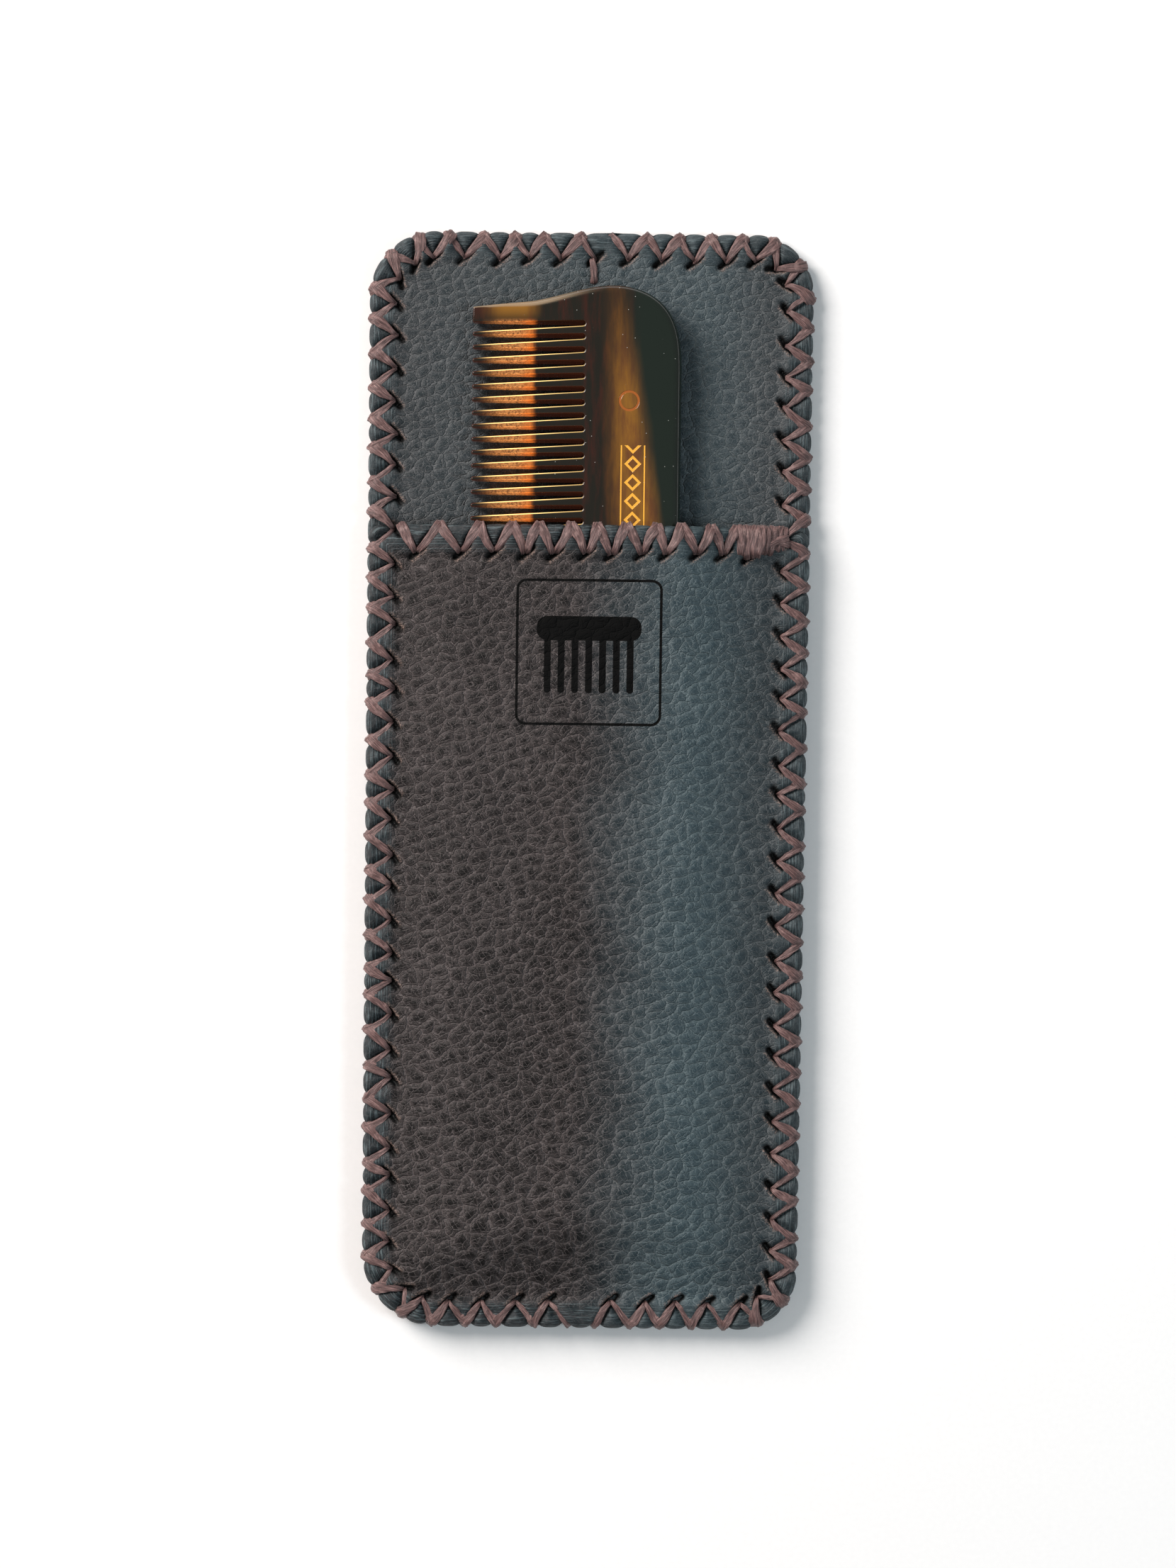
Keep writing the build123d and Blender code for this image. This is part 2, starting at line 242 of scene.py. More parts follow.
class Lacing:
    """Where the holes are, where the turns of thread cross over the edge, and the slits."""

    def __init__(self, props):
        sizes, lace = props.sleeve, props.lacing
        outline = whole_outline(sizes, 1.0)
        self.inset = lace.hole_inset / MM + sizes.plump / MM
        pitch = lace.stitch_pitch / MM
        rng = np.random.default_rng(SEED)
        edge, line = outline.edge, outline.edge + outline.inward * self.inset
        evenly = outline.edge + outline.inward * 1.0
        top = int(np.argmin(np.abs(edge[:, 0]) + 99 * (edge[:, 1] < 0)))
        foot = int(np.argmin(np.abs(edge[:, 0]) + 99 * (edge[:, 1] > 0)))
        left = np.arange(top, foot + 1)
        right = np.concatenate([np.arange(top, -1, -1), np.arange(len(edge) - 1, foot - 1, -1)])
        self.sides = []
        for number, rows in enumerate((left, right)):
            track, rim = line[rows], edge[rows]
            inner_run = distance_along(track)
            run = distance_along(evenly[rows])
            count = round(run[-1] / pitch)
            at = np.arange(count + 1) * run[-1] / count
            at[1:-1] += rng.uniform(-0.36, 0.36, count - 1)
            holes, heading = along_polyline(track, np.interp(at, run, inner_run))
            outward = turned(heading) * (-1 if number == 0 else 1)
            holes = holes + outward * rng.uniform(-0.16, 0.16, (count + 1, 1))
            middle = (at[1:] + at[:-1]) / 2 + rng.uniform(-0.4, 0.4, count)
            goals = np.stack([np.interp(middle, run, rim[:, k]) for k in range(2)], axis=1)
            first = 0 if number == 0 else 1
            legs, owners = [], []
            for k in range(first, count):
                for goal in range(max(k - 1, 0), k + 1):
                    legs.append((holes[k], goals[goal], goal == k))
                    owners.append(k - first)
            self.sides.append({"holes": holes[first:count], "out": outward[first:count], "legs": legs,
                               "legs_of": owners})
        self.mouth_inset = lace.mouth_inset / MM
        stitches = lace.mouth_stitches
        spread = PANEL_HIGH[0] * 2 - 2 * self.mouth_inset - 8
        # the stitches draw closer together towards the bundle of wraps at the right
        across = spread * (np.linspace(0, 1, stitches) ** 0.86 - 0.5) - 0.8
        across = across + rng.uniform(-0.3, 0.3, stitches)
        down = MOUTH - self.mouth_inset + rng.uniform(-0.15, 0.15, stitches)
        holes = np.stack([across, down], axis=1)
        gates = (across[1:] + across[:-1]) / 2 + rng.uniform(-0.3, 0.3, stitches - 1)
        gates = np.concatenate([[across[0] - pitch / 2], gates, [across[-1] + pitch / 2]])
        goals = np.stack([gates, np.full(stitches + 1, MOUTH + 0.1)], axis=1)
        legs = []
        for k in range(stitches):
            legs.append((holes[k], goals[k], False))
            legs.append((holes[k], goals[k + 1], True))
        out = np.tile([0.0, 1.0], (stitches, 1))
        self.mouth = {"holes": holes, "out": out, "legs": legs}
        self.slit = lace.slit_length / MM
        self.slant = math.radians(50)

    def slits(self, parts):
        """Both ends of every slit of these parts, and the direction of its inner side."""
        holes = np.concatenate([part["holes"] for part in parts])
        out = np.concatenate([part["out"] for part in parts])
        run = out * math.cos(self.slant) - turned(out) * math.sin(self.slant)
        inner = turned(run) * np.sign((turned(run) * -out).sum(axis=1, keepdims=True))
        middle = holes - out * 0.15
        return middle - run * self.slit / 2, middle + run * self.slit / 2, inner

    def relief(self, points, depth, parts, rng_seed):
        """How the lacing shapes the leather: height change, the painted shade in the slits and round the
        holes, and the raw cut edge.
        """
        starts = np.concatenate([[leg[0] for leg in part["legs"]] for part in parts])
        ends = np.concatenate([[leg[1] for leg in part["legs"]] for part in parts])
        legs = segment_distance(points, starts, ends)
        low, high, inner = self.slits(parts)
        slits = segment_distance(points, low, high)
        lip = segment_distance(points, low + inner * 0.5, high + inner * 0.5)
        holes = np.concatenate([part["holes"] for part in parts])
        near = segment_distance(points, holes, holes + 1e-3)
        rim = smoothstep(self.inset + 1.6, self.inset - 0.8, depth)
        press = bell(legs, 0.62)
        rise = 0.52 * rim * (1 - press) * smoothstep(-0.2, 1.3, depth) - 0.46 * press
        rise += 0.10 * lumps(points[:, 0], points[:, 1], 1.7, rng_seed) * rim
        rise -= 0.30 * bell(near, 1.5) * (1 - rim * 0.5)
        rise += 0.16 * bell(lip, 0.34)
        rise -= 0.85 * bell(slits, 0.30)
        # painted shade inside the slits and round the holes
        gap = np.clip(1.5 * bell(slits, 0.36) + 0.9 * bell(near, 0.62), 0, 1)
        raw = bell(lip, 0.26) * (1 - bell(slits, 0.22))
        return rise, gap, raw


# ---------------------------------------------------------------- leather heights


def smoothed_profile(knots, spread):
    """A height along one axis: straight between the knots, with every corner eased."""
    knots = np.array(knots)
    grid = np.arange(-90, 90, 0.1)
    heights = np.interp(grid, knots[:, 0], knots[:, 1])
    kernel = bell(np.arange(-3 * spread, 3 * spread + 0.05, 0.1), spread * math.sqrt(2))
    eased = np.convolve(np.pad(heights, len(kernel) // 2, mode="edge"), kernel / kernel.sum(), "valid")
    return grid, eased[: len(grid)]


ACROSS = smoothed_profile(
    (
        (-27.2, 0),
        (COMB_LOW[0] - 0.9, CREST - BED - 2.0),
        (COMB_LOW[0] + 15.4, CREST - BED),
        (COMB_HIGH[0] + 0.6, CREST - BED),
        (27.0, 0),
    ),
    2.0,
)
ALONG = smoothed_profile(((-71.5, 0), (COMB_LOW[1] - 1.5, CREST - BED + 0.4), (80, CREST - BED + 0.4)), 2.8)


def pocket_room(x, y):
    """The underside of the pocket leather over a place on the lining."""
    across = np.interp(x, *ACROSS) * (1 - 0.10 * smoothstep(0, COMB_LOW[1], y))
    along = np.interp(y, *ALONG)
    ease = 1.1
    mix = np.clip(0.5 + (along - across) / (2 * ease), 0, 1)
    lower = along * (1 - mix) + across * mix - ease * mix * (1 - mix)
    return BED + np.maximum(lower, 0)


def panel_top(x, y):
    """The grain side of the pocket leather, before its lacing and its pebbles."""
    high = pocket_room(x, y) - BED
    drape = 0.16 * lumps(x, y, 13, 5) + 0.07 * lumps(x, y, 5, 6)
    return BED + high + LEATHER + drape * smoothstep(0, 2, high)


# ---------------------------------------------------------------- mesh making


def make_piece(name, points, faces, body, nodes, fields=None, material=None):
    """A finished piece from millimetre points, riding on its body and standing for its nodes."""
    mesh = bpy.data.meshes.new(name)
    mesh.from_pydata((np.asarray(points) * MM).tolist(), [], faces)
    mesh.update()
    mesh.shade_smooth()
    for field, values in (fields or {}).items():
        values = np.asarray(values, np.float32)
        kind = "FLOAT" if values.ndim == 1 else "FLOAT_VECTOR"
        layer = mesh.attributes.new(field, kind, "POINT")
        layer.data.foreach_set("value" if kind == "FLOAT" else "vector", values.ravel())
    piece = bpy.data.objects.new(name, mesh)
    bpy.context.scene.collection.objects.link(piece)
    if material:
        mesh.materials.append(material)
    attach(piece, body)
    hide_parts(*nodes)
    return piece


def leather_sheet(outline, top, bottom, roll):
    """A leather: a fine grain side with a rolled edge, and a coarse flesh side, closed.

    top gives grain side heights at points with their depth from the edge, and bottom gives flesh
    side heights. Returns the points, the faces and the fields that the finish needs.
    """
    radius = np.linalg.norm(outline.inner - outline.edge, axis=1)
    rays, (across, along) = len(outline.edge), outline.counts
    arcs = [math.radians(angle) for angle in (0, 18, 36, 52, 66, 80)]
    cells = 34
    points, falls = [], []
    for arc in arcs:
        inset = np.minimum(roll * (1 - math.cos(arc)), radius / 2)
        points.append(outline.edge + outline.inward * inset[:, None])
        falls.append(roll * (1 - math.sin(arc)))
    for j in range(1, cells):
        reach = inset + (radius - inset) * j / cells
        points.append(outline.edge + outline.inward * reach[:, None])
        falls.append(0)
    u, v = np.meshgrid(np.arange(across + 1) / across, np.arange(along + 1) / along)
    u, v = u.ravel()[:, None], v.ravel()[:, None]
    low_right, high_right, high_left, low_left = outline.centres
    low, high = (1 - u) * low_left + u * low_right, (1 - u) * high_left + u * high_right
    patch = (1 - v) * low + v * high
    rings, patch_at = len(points), len(points) * rays
    flat = np.concatenate(points + [patch])
    fall = np.concatenate([np.repeat(falls, rays), np.zeros(len(patch))])
    upper = np.column_stack([flat, top(flat, outline.depth(flat)) - fall])

    ray, after = np.arange(rays), np.roll(np.arange(rays), -1)
    inner = patch_at + outline.index[:, 1] * (across + 1) + outline.index[:, 0]
    polys = []
    for j in range(rings - 1):
        at = j * rays
        polys += np.stack([at + ray, at + after, at + rays + after, at + rays + ray], 1).tolist()
    polys += ladder((rings - 1) * rays + ray, inner)
    i, j = np.meshgrid(np.arange(across), np.arange(along))
    base = (patch_at + j * (across + 1) + i).ravel()
    polys += np.stack([base, base + 1, base + across + 2, base + across + 1], 1).tolist()

    # the cut side, then the flesh side on every fourth ray and cell
    wall = outline.edge + outline.inward * 0.04
    foot = bottom(wall[:, 0], wall[:, 1]) + 0.3
    wall = np.column_stack([wall, np.minimum(foot, upper[:rays, 2] - 0.05)])
    rows = np.arange(0, rays, 4)
    flesh = []
    for inset in (0.35, 2.0):
        spot = outline.edge[rows] + outline.inward[rows] * np.minimum(inset, radius[rows] * 0.8)[:, None]
        flesh.append(np.column_stack([spot, bottom(spot[:, 0], spot[:, 1])]))
    picked = np.arange(0, along + 1, 4)[:, None] * (across + 1) + np.arange(0, across + 1, 4)
    spot = patch[picked.ravel()]
    flesh.append(np.column_stack([spot, bottom(spot[:, 0], spot[:, 1])]))
    wall_at, count = len(upper), len(rows)
    first_at = wall_at + rays
    grid_at = first_at + 2 * count
    polys += np.stack([ray, wall_at + ray, wall_at + after, after], 1).tolist()
    for k in range(count):
        m = (k + 1) % count
        fan = [wall_at + (4 * k + step) % rays for step in range(5)]
        polys.append([first_at + m] + fan[::-1] + [first_at + k])
    first, width = first_at + np.arange(count), across // 4 + 1
    spots = outline.index[rows] // 4
    polys += [poly[::-1] for poly in ladder(first + count, grid_at + spots[:, 1] * width + spots[:, 0])]
    polys += [poly[::-1] for poly in ladder(first, first + count)]
    i, j = np.meshgrid(np.arange(across // 4), np.arange(along // 4))
    base = (grid_at + j * width + i).ravel()
    polys += np.stack([base, base + width, base + width + 1, base + 1], 1).tolist()
    points = np.concatenate([upper, wall] + flesh)
    depth = outline.depth(points[:, :2])
    rim = smoothstep(4.6, 2.6, depth)
    grain = np.zeros(len(points))
    grain[: len(upper)] = (1 - np.clip(fall / roll * 1.6, 0, 1)) * (1 - 0.85 * rim[: len(upper)])
    steps = np.linalg.norm(np.roll(outline.edge, -1, axis=0) - outline.edge, axis=1)
    walk = np.concatenate([[0], np.cumsum(steps)[:-1]])
    run = np.zeros(len(points))
    run[:patch_at] = np.tile(walk, rings)
    run[wall_at:first_at] = walk
    wrinkle = np.column_stack([run * 0.34, depth * 4.4, np.zeros(len(points))])
    return points, polys, {"grain": grain, "rim": rim, "wrinkle": wrinkle}


def ladder(outer, inner):
    """Faces between a closed ring of points and the next one in, which may share points."""
    rungs = []
    for a, b, c, d in zip(outer, np.roll(outer, -1), np.roll(inner, -1), inner):
        rungs.append([int(a), int(b), int(c)] + ([int(d)] if c != d else []))
    return rungs


# ---------------------------------------------------------------- node helpers


def node(tree, kind, values=None, **settings):
    """A new node with its settings, and its inputs set from numbers or joined to sockets."""
    made = tree.nodes.new(kind)
    for key, value in settings.items():
        setattr(made, key, value)
    for key, value in (values or {}).items():
        socket = made.inputs[key]
        if isinstance(value, bpy.types.NodeSocket):
            tree.links.new(value, socket)
        else:
            socket.default_value = value
    return made


def maths(tree, operation, first, second=0.0, third=0.0):
    """The result of one Math node."""
    made = node(tree, "ShaderNodeMath", {0: first, 1: second, 2: third}, operation=operation)
    return made.outputs[0]


def times(tree, first, second):
    """The product of two values in a node tree."""
    return maths(tree, "MULTIPLY", first, second)


def ramp(tree, value, low, high, start=0.0, end=1.0):
    """A smooth step of a value between two limits."""
    values = {"Value": value, "From Min": low, "From Max": high, "To Min": start, "To Max": end}
    made = node(tree, "ShaderNodeMapRange", values, interpolation_type="SMOOTHSTEP")
    return made.outputs["Result"]


def mixed(tree, factor, first, second):
    """A colour between two others."""
    made = tree.nodes.new("ShaderNodeMix")
    made.data_type = "RGBA"
    for socket, value in ((made.inputs[0], factor), (made.inputs[6], first), (made.inputs[7], second)):
        if isinstance(value, bpy.types.NodeSocket):
            tree.links.new(value, socket)
        else:
            socket.default_value = value if isinstance(value, float) else (*value[:3], 1.0)
    return made.outputs[2]


def noise(tree, place, scale, detail=2.0, roughness=0.5):
    """A Noise texture node at a place."""
    values = {"Vector": place, "Scale": scale, "Detail": detail, "Roughness": roughness}
    return node(tree, "ShaderNodeTexNoise", values)


def cell_edges(tree, place, size, feature="DISTANCE_TO_EDGE"):
    """Distance from the edges of random cells of about this size, as a share of the size."""
    values = {"Vector": place, "Scale": 1 / size, "Randomness": 0.80}
    made = node(tree, "ShaderNodeTexVoronoi", values, voronoi_dimensions="2D", feature=feature)
    return made.outputs["Distance"]


def grain_cells(tree, place):
    """The leather's grain at a sheet place: distance from the main and from the lesser creases."""
    sway = node(tree, "ShaderNodeVectorMath", {0: noise(tree, place, 0.33, 1.0).outputs["Color"]},
                operation="SUBTRACT")
    sway.inputs[1].default_value = (0.5, 0.5, 0.5)
    bend = node(tree, "ShaderNodeVectorMath", {0: sway.outputs[0], "Scale": 1.9}, operation="SCALE")
    bent = node(tree, "ShaderNodeVectorMath", {0: place, 1: bend.outputs[0]}, operation="ADD")
    slant = node(tree, "ShaderNodeVectorRotate", {"Vector": bent.outputs[0], "Angle": -0.35},
                 rotation_type="Z_AXIS")
    turn = node(tree, "ShaderNodeVectorMath", {0: slant.outputs[0], 1: (0.82, 1.12, 1.0)},
                operation="MULTIPLY")
    fine = noise(tree, place, 1.3, 1.0)
    jog = node(tree, "ShaderNodeVectorMath", {0: fine.outputs["Color"], "Scale": 0.62}, operation="SCALE")
    uneven = node(tree, "ShaderNodeVectorMath", {0: turn.outputs[0], 1: jog.outputs[0]}, operation="ADD")
    main = cell_edges(tree, uneven.outputs[0], 1.92)
    across = node(tree, "ShaderNodeVectorMath", {0: uneven.outputs[0], 1: (0.72, 1.3, 1.0)},
                  operation="MULTIPLY")
    lesser = cell_edges(tree, across.outputs[0], 1.02)
    return main, lesser


def pebble_tree(depth):
    """Geometry nodes that press the grain's creases into a leather's grain side."""
    tree = bpy.data.node_groups.new("pebble_grain", "GeometryNodeTree")
    tree.interface.new_socket("Geometry", in_out="INPUT", socket_type="NodeSocketGeometry")
    tree.interface.new_socket("Geometry", in_out="OUTPUT", socket_type="NodeSocketGeometry")
    start, end = tree.nodes.new("NodeGroupInput"), tree.nodes.new("NodeGroupOutput")
    place = node(tree, "GeometryNodeInputNamedAttribute", {"Name": "place"}, data_type="FLOAT_VECTOR")
    grain = node(tree, "GeometryNodeInputNamedAttribute", {"Name": "grain"}, data_type="FLOAT")
    main, lesser = grain_cells(tree, place.outputs["Attribute"])
    crease = maths(tree, "SUBTRACT", 1.0, ramp(tree, main, 0.0, 0.36))
    small = maths(tree, "SUBTRACT", 1.0, ramp(tree, lesser, 0.0, 0.26))
    deep = maths(tree, "MULTIPLY_ADD", small, 0.35, crease)
    amount = times(tree, times(tree, deep, grain.outputs["Attribute"]), -depth)
    normal = tree.nodes.new("GeometryNodeInputNormal")
    push = node(tree, "ShaderNodeVectorMath", {0: normal.outputs[0], "Scale": amount}, operation="SCALE")
    move = node(tree, "GeometryNodeSetPosition", {"Geometry": start.outputs[0], "Offset": push.outputs[0]})
    tree.links.new(move.outputs[0], end.inputs[0])
    return tree


def press_grain(piece, depth):
    """Give a leather its pebbles as real shape."""
    modifier = piece.modifiers.new("pebbles", "NODES")
    modifier.node_group = pebble_tree(depth)
    evaluated = piece.evaluated_get(bpy.context.evaluated_depsgraph_get())
    mesh = bpy.data.meshes.new_from_object(evaluated, preserve_all_data_layers=True,
                                           depsgraph=bpy.context.evaluated_depsgraph_get())
    old = piece.data
    piece.modifiers.clear()
    mesh.name = old.name
    piece.data = mesh
    bpy.data.meshes.remove(old)
    mesh.shade_smooth()


# ---------------------------------------------------------------- finishes


def new_finish(name):
    """A material, its node tree and its Principled shader."""
    material = bpy.data.materials.new(name)
    material.use_nodes = True
    tree = material.node_tree
    return material, tree, tree.nodes["Principled BSDF"]


def box_distance(tree, place, centre, half, corner):
    """Distance from a rounded box in the plane: under 0 inside it."""
    shifted = node(tree, "ShaderNodeVectorMath", {0: place, 1: (*centre, 0)}, operation="SUBTRACT")
    size = node(tree, "ShaderNodeVectorMath", {0: shifted.outputs[0]}, operation="ABSOLUTE")
    inside = (half[0] - corner, half[1] - corner, 9.0)
    excess = node(tree, "ShaderNodeVectorMath", {0: size.outputs[0], 1: inside}, operation="SUBTRACT")
    beyond = node(tree, "ShaderNodeVectorMath", {0: excess.outputs[0], 1: (0, 0, 0)}, operation="MAXIMUM")
    length = node(tree, "ShaderNodeVectorMath", {0: beyond.outputs[0]}, operation="LENGTH").outputs["Value"]
    axes = node(tree, "ShaderNodeSeparateXYZ", {0: excess.outputs[0]})
    deep = maths(tree, "MINIMUM", maths(tree, "MAXIMUM", axes.outputs[0], axes.outputs[1]), 0.0)
    return maths(tree, "SUBTRACT", maths(tree, "ADD", length, deep), corner)


def comb_sign(tree, place, centre):
    """Where ink lies for a small picture of a comb in a round-cornered frame."""
    x, y = centre
    frame_line = maths(tree, "ABSOLUTE", box_distance(tree, place, centre, (10.0, 10.0), 1.3))
    frame_line = maths(tree, "SUBTRACT", frame_line, 0.19)
    back = box_distance(tree, place, (x, y + 3.3), (7.3, 1.7), 1.5)
    axes = node(tree, "ShaderNodeSeparateXYZ", {0: place})
    across = maths(tree, "SUBTRACT", axes.outputs[0], x)
    tooth_x = maths(tree, "WRAP", across, 0.96, -0.96)
    tooth_place = node(tree, "ShaderNodeCombineXYZ", {0: tooth_x, 1: axes.outputs[1]})
    teeth = box_distance(tree, tooth_place.outputs[0], (0, y - 1.3), (0.48, 4.4), 0.45)
    teeth = maths(tree, "MAXIMUM", teeth, maths(tree, "SUBTRACT", maths(tree, "ABSOLUTE", across), 6.7))
    ink = maths(tree, "MINIMUM", maths(tree, "MINIMUM", frame_line, back), teeth)
    return ramp(tree, ink, 0.04, -0.04)


def leather_finish(name, colours, cool=(-60.0, 60.0), worn=0.0, sign=None):
    """Charcoal pebbled leather: dark cells, creases painted paler as highlights, pores, and raw cut edges.

    cool says between which two places across the sleeve a painted cool light, the teal cast of a lamp at
    the right, comes in.
    """
    material, tree, shader = new_finish(name)
    place = node(tree, "ShaderNodeAttribute", attribute_name="place").outputs["Vector"]
    main, lesser = grain_cells(tree, place)
    depth = node(tree, "ShaderNodeAttribute", attribute_name="rim").outputs["Fac"]
    raw = node(tree, "ShaderNodeAttribute", attribute_name="raw").outputs["Fac"]
    gap = node(tree, "ShaderNodeAttribute", attribute_name="gap").outputs["Fac"]
    wrinkle_place = node(tree, "ShaderNodeAttribute", attribute_name="wrinkle").outputs["Vector"]
    wrinkles = noise(tree, wrinkle_place, 1.0, 3.0, 0.6).outputs["Fac"]
    wide = noise(tree, place, 0.06, 3.0).outputs["Fac"]
    patchy = noise(tree, place, 0.7, 3.0, 0.6).outputs["Fac"]
    fibre = noise(tree, place, 5.5, 4.0, 0.65).outputs["Fac"]
    broken = ramp(tree, noise(tree, place, 2.6, 3.0, 0.6).outputs["Fac"], 0.36, 0.62)
    # painted highlight: the creases and fine hair lines are painted paler than the cells, as their lit
    # walls
    edge = times(tree, ramp(tree, main, 0.042, 0.008), maths(tree, "MULTIPLY_ADD", broken, 0.75, 0.25))
    small = times(tree, ramp(tree, lesser, 0.075, 0.015), times(tree, broken, 0.8))
    crease = maths(tree, "MAXIMUM", edge, small)
    leaning = node(tree, "ShaderNodeVectorRotate", {"Vector": place, "Angle": 0.95}, rotation_type="Z_AXIS")
    drawn = node(tree, "ShaderNodeVectorMath", {0: leaning.outputs[0], 1: (0.42, 1.7, 1.0)},
                 operation="MULTIPLY")
    hair_lines = ramp(tree, cell_edges(tree, drawn.outputs[0], 0.95), 0.07, 0.02)
    hair_lines = times(tree, hair_lines, ramp(tree, patchy, 0.62, 0.40, 0.0, 0.6))
    crease = maths(tree, "MAXIMUM", crease, hair_lines)
    least = cell_edges(tree, place, 0.62)
    tiny = times(tree, ramp(tree, least, 0.12, 0.03), ramp(tree, patchy, 0.45, 0.72))
    crease = maths(tree, "MAXIMUM", crease, times(tree, tiny, 0.5))
    plan = node(tree, "ShaderNodeAttribute", attribute_name="plan").outputs["Vector"]
    across = node(tree, "ShaderNodeSeparateXYZ", {0: plan}).outputs[0]
    # painted cool light: the teal cast of the cool lamp at the right, painted into the cells and creases,
    # fading again towards the right rim
    painted_cool_light = ramp(tree, maths(tree, "MULTIPLY_ADD", wide, 9.0, across), cool[0] + 4.5, cool[1] + 4.5)
    painted_cool_light = times(tree, painted_cool_light, ramp(tree, across, 15.0, 27.0, 1.0, 0.45))
    line = mixed(tree, painted_cool_light, colours.leather_crease_highlight, colours.cool_lit_crease_highlight)
    cell = mixed(tree, ramp(tree, patchy, 0.3, 0.7), colours.leather_dark, colours.leather_warm)
    cell = mixed(tree, times(tree, painted_cool_light, 0.75), cell, colours.leather_painted_cool_light)
    # painted shade over each pebble: dark in its middle, painted lighter towards its creases
    slope = times(tree, ramp(tree, main, 0.42, 0.05), ramp(tree, wide, 0.30, 0.62, 0.16, 0.30))
    cell = mixed(tree, maths(tree, "ADD", slope, worn), cell, line)
    # painted highlights along the creases
    tone = mixed(tree, times(tree, crease, 0.92), cell, line)
    pores = cell_edges(tree, place, 0.42, "F1")
    speck = times(tree, ramp(tree, pores, 0.17, 0.07), ramp(tree, fibre, 0.5, 0.62))
    tone = mixed(tree, times(tree, speck, 0.5), tone, line)
    # painted highlight on the ridges of the rim's wrinkles
    wrinkle_highlight = times(tree, ramp(tree, wrinkles, 0.50, 0.62), times(tree, depth, 0.5))
    tone = mixed(tree, times(tree, depth, 0.6), tone, colours.leather_rim)
    tone = mixed(tree, wrinkle_highlight, tone, colours.cool_lit_crease_highlight)
    frayed = times(tree, raw, ramp(tree, noise(tree, place, 3.6, 3.0, 0.7).outputs["Fac"], 0.44, 0.58))
    tone = mixed(tree, times(tree, frayed, 0.8), tone, colours.raw_edge)
    # painted shade: the slits and holes painted near black
    tone = mixed(tree, gap, tone, (0.004, 0.004, 0.004))
    if sign:
        ink = comb_sign(tree, plan, sign)
        tone = mixed(tree, ink, tone, colours.ink)
    tree.links.new(tone, shader.inputs["Base Color"])
    dull = maths(tree, "MULTIPLY_ADD", fibre, 0.26, 0.38)
    dull = maths(tree, "MULTIPLY_ADD", crease, 0.08, dull)
    tree.links.new(maths(tree, "MAXIMUM", dull, ink) if sign else dull, shader.inputs["Roughness"])
    shader.inputs["Specular IOR Level"].default_value = 0.155

    body = times(tree, ramp(tree, main, 0.0, 0.10), 0.9)
    body = maths(tree, "MULTIPLY_ADD", ramp(tree, lesser, 0.0, 0.12), 0.5, body)
    body = maths(tree, "MULTIPLY_ADD", ramp(tree, least, 0.0, 0.18), 0.16, body)
    body = maths(tree, "MULTIPLY_ADD", fibre, 0.42, body)
    body = maths(tree, "MULTIPLY_ADD", ramp(tree, pores, 0.05, 0.30), 0.16, body)
    calm = maths(tree, "SUBTRACT", 1.0, times(tree, depth, 0.8))
    height = maths(tree, "MULTIPLY_ADD", times(tree, wrinkles, depth), 2.7,
                   times(tree, body, calm))
    bump = node(tree, "ShaderNodeBump", {"Height": height, "Strength": 0.95, "Distance": 0.115 * MM})
    tree.links.new(bump.outputs[0], shader.inputs["Normal"])
    return material


def thread_finish(name, colours):
    """Waxed multi-strand thread: mauve brown, with fine fibres along the lay."""
    material, tree, shader = new_finish(name)
    lay = node(tree, "ShaderNodeAttribute", attribute_name="lay").outputs["Vector"]
    fibres = noise(tree, lay, 1.0, 4.0, 0.65).outputs["Fac"]
    place = node(tree, "ShaderNodeTexCoord").outputs["Object"]
    blotch = noise(tree, place, 900.0, 3.0, 0.6).outputs["Fac"]
    tone = mixed(tree, ramp(tree, fibres, 0.36, 0.62), colours.thread_dark, colours.thread)
    tone = mixed(tree, ramp(tree, fibres, 0.58, 0.72, 0.0, 0.7), tone, colours.thread_light)
    tone = mixed(tree, times(tree, ramp(tree, blotch, 0.5, 0.72), 0.5), tone, colours.thread_light)
    # painted shade in the grooves between the thread's strands
    grooves = node(tree, "ShaderNodeAttribute", attribute_name="groove").outputs["Fac"]
    tone = mixed(tree, times(tree, grooves, 0.6), tone, colours.thread_dark)
    tree.links.new(tone, shader.inputs["Base Color"])
    shader.inputs["Roughness"].default_value = 0.52
    shader.inputs["Specular IOR Level"].default_value = 0.45
    shader.inputs["Sheen Weight"].default_value = 0.12
    shader.inputs["Sheen Roughness"].default_value = 0.4
    bump = node(tree, "ShaderNodeBump", {"Height": fibres, "Strength": 1.0, "Distance": 0.13 * MM})
    tree.links.new(bump.outputs[0], shader.inputs["Normal"])
    return material


